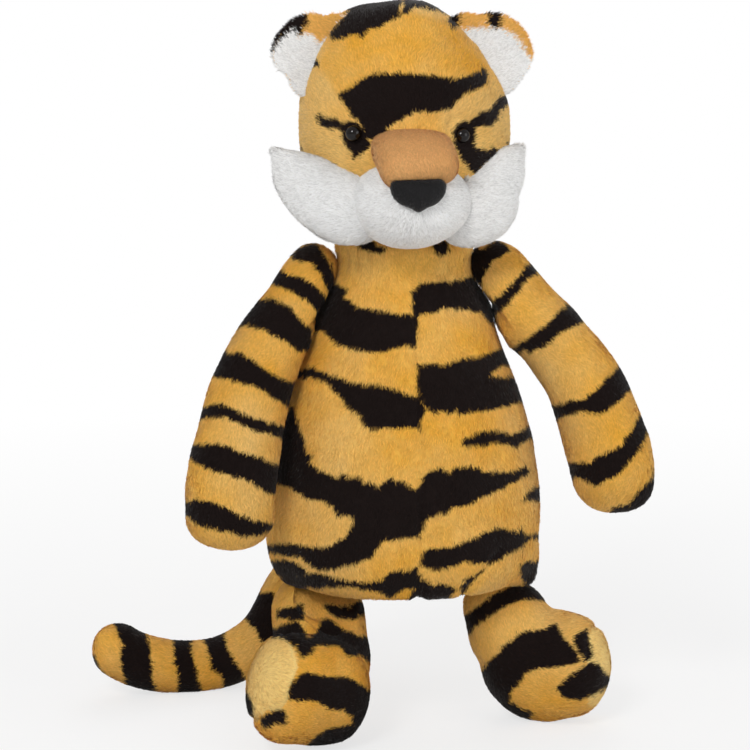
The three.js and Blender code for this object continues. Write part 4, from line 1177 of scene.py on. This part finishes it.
sole_outline = [
    (277, 627), (286, 633), (293, 645), (298, 660), (299, 668), (294, 680), (290, 690), (288, 702),
    (280, 712), (266, 712), (256, 721), (238, 716), (222, 690), (232, 645), (262, 625)]
hip_out, hip_level = 39.5, 48
ankle_level, ankle_radius, heel_back, column_low = 23.5, 21, 18, 20
crease_deep = 1.2
for name, leg in leg_kinds.items():
    side = leg["side"]
    hip = np.array([torso_middle[0] + side * hip_out, torso_middle[1], hip_level])
    angle = math.radians(leg["turn"])
    ahead = np.array([side * math.sin(angle), -math.cos(angle), 0])
    ankle = np.array([hip[0] + side * leg["ankle"][0], hip[1] - leg["ankle"][1], ankle_level])
    sole = ankle + ahead * leg["long"]
    sole[2] = leg["sole_up"]
    foot_line = [ankle - ahead * heel_back, ankle, (ankle + sole) / 2, sole]
    column_start = hip + [leg["thigh"], 0, -leg["drop"]]
    column_end = np.array([ankle[0], ankle[1], column_low])
    column_top = column_start - unit(column_end - column_start) * (leg["radius"] - fur_high)
    thick = lambda t, leg=leg: leg["radius"] + (ankle_radius - leg["radius"]) * t - fur_high
    column = limb_rings([column_top, column_end], thick, thick, (1, 0, 0), rings=60, sides=70)
    foot = limb_rings(
        foot_line, half_size(foot_across_shares, fur_high, foot_across),
        half_size(leg["foot_tall"], fur_high), (-ahead[1], ahead[0], 0),
        rings=90, sides=90, domes=(1, 0.6))
    hip_ball = egg_rings(hip, leg["hip_radius"] - fur_high, rings=40, sides=60)
    skins = [closed_skin(rings) for rings in (column, foot, hip_ball)]
    points, faces = melted(skins, voxel=1.3, rounds=30)
    pressed = clear_of_torso(points, limb_clear, hip, (1, 0, 0), leg["lift"])
    points = let_go(points, pressed, faces, hip, held=(17, 19), rounds=6)
    sole_way = unit(sole - ankle)
    past = (points - ankle) @ sole_way
    if side > 0:
        folded = hump(past - leg["crease"], 1.3) * eased(points[:, 2], 20, 30)
    else:
        folded = near_line(points, sole_outline, 3.0) * eased(past, leg["crease"] - 10, leg["crease"] - 4)
    points = moved_out(points, faces, filling_lumps(points, 0.6, 16, (9, 54)) - crease_deep * folded)
    points[:, 2] = np.maximum(points[:, 2], fur_high)

    def sole_depth(spots, points, ankle=ankle, sole_way=sole_way, leg=leg):
        """How far points lie on the sole: past its crease, and on the right within its outline too."""
        past = (points - ankle) @ sole_way - leg["crease"]
        if leg["side"] > 0:
            return 3 * past
        return np.minimum(3 * past + 20, depth_inside(spots, [sole_outline]))

    leg_pieces = dress(
        "leg_" + name, points, faces, gold_fur,
        line_nap([hip + [0, 0, 20], hip, ankle * 0.7 + hip * 0.3, ankle + ahead * 12, sole]),
        fur_marks(leg["stripes"].values(), back_warp(ankle, 6), sole_depth), "gold_fur")
    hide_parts("leg_cover_" + name, "leg_stuffing_" + name)
    for piece in leg_pieces:
        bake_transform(piece)

# Tail: a stuffed tube of the same plush, sewn low on the middle of the back. It bends down to the floor,
# where its lowest part lies, and its tip turns up.

tail_root = np.array([7.69, 42.07, 76])
tail_route = [
    (14.6, 14.8, 66), (32.5, 15.8, 46), (50.4, 11, 20), (69, 5, 11.4), (89, 1, 11.2), (107.5, -2, 16.4),
    (123, -5, 27)]
tail_stops = [tail_root]
tail_stops += [(tail_root[0] - right, tail_root[1] + back, up) for right, back, up in tail_route]
tail_full = [0, 0.6, 1, 0.7, 0.45, 0.7, 0.8]
tail_stripes = {
    "tip": [(80, 650), (95, 656), (101, 668), (111, 680), (118, 690), (90, 692)],
    "first": [
        (106, 610), (152, 612), (147, 634), (149, 644), (151, 662), (154, 682), (160, 706), (138, 706),
        (127, 686), (124, 674), (121, 660), (122, 644), (117, 630)],
    "second": [
        (171, 630), (193, 630), (192, 648), (195, 662), (198, 678), (204, 694), (208, 708), (177, 708),
        (178, 678), (175, 662)],
    "third": [
        (198, 630), (224, 618), (225, 635), (227, 648), (233, 658), (243, 672), (247, 690), (252, 706),
        (230, 706), (223, 682), (221, 674), (213, 670), (209, 658), (205, 644)],
    "fourth": [
        (258, 592), (272, 592), (284, 608), (290, 620), (276, 640), (266, 650), (256, 632), (250, 626),
        (244, 612)],
    "root": [(300, 560), (330, 560), (340, 600), (320, 620), (300, 600)]}
tail_radius, tail_swell = 10.5, 2.5
size = lambda t: tail_radius + tail_swell * smooth_between(tail_full, t) - fur_high
points, faces = closed_skin(limb_rings(tail_stops, size, size, (0, 0, 1), rings=190, sides=80))
points = moved_out(points, faces, 0.5 * soft_noise(points, 16, 10))
points[:, 2] = np.maximum(points[:, 2], fur_high)
pressed = out_of_torso(points, limb_clear)
points = let_go(points, pressed, faces, tail_root, held=(10, 12), rounds=4)
tail_middle = np.array([-40, 50, 30])
tail_pieces = dress(
    "tail", points, faces, gold_fur, line_nap(tail_stops),
    fur_marks(tail_stripes.values(), back_warp(tail_middle, 4)), "gold_fur")
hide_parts("tail_cover", "tail_stuffing")
for piece in tail_pieces:
    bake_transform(piece)

# Washers: two moulded discs of pale plastic, pressed on the eyes' stems inside the head. They are shown as
# their solids, with a material of their own.

material, tree, surface = new_material("washer_plastic")
grain = new_node(tree, "TexNoise", {"Scale": 1500}, "Fac")
fine = new_node(tree, "Bump", {"Strength": 0.1, "Height": grain}, "Normal")
disc = new_node(tree, "BsdfPrincipled", {
    "Base Color": colour(238, 238, 234), "Roughness": 0.45, "Normal": fine})
tree.links.new(disc, surface)
for name in ("eye_washer_left", "eye_washer_right"):
    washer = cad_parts[name]
    washer.data.materials.clear()
    washer.data.materials.append(material)
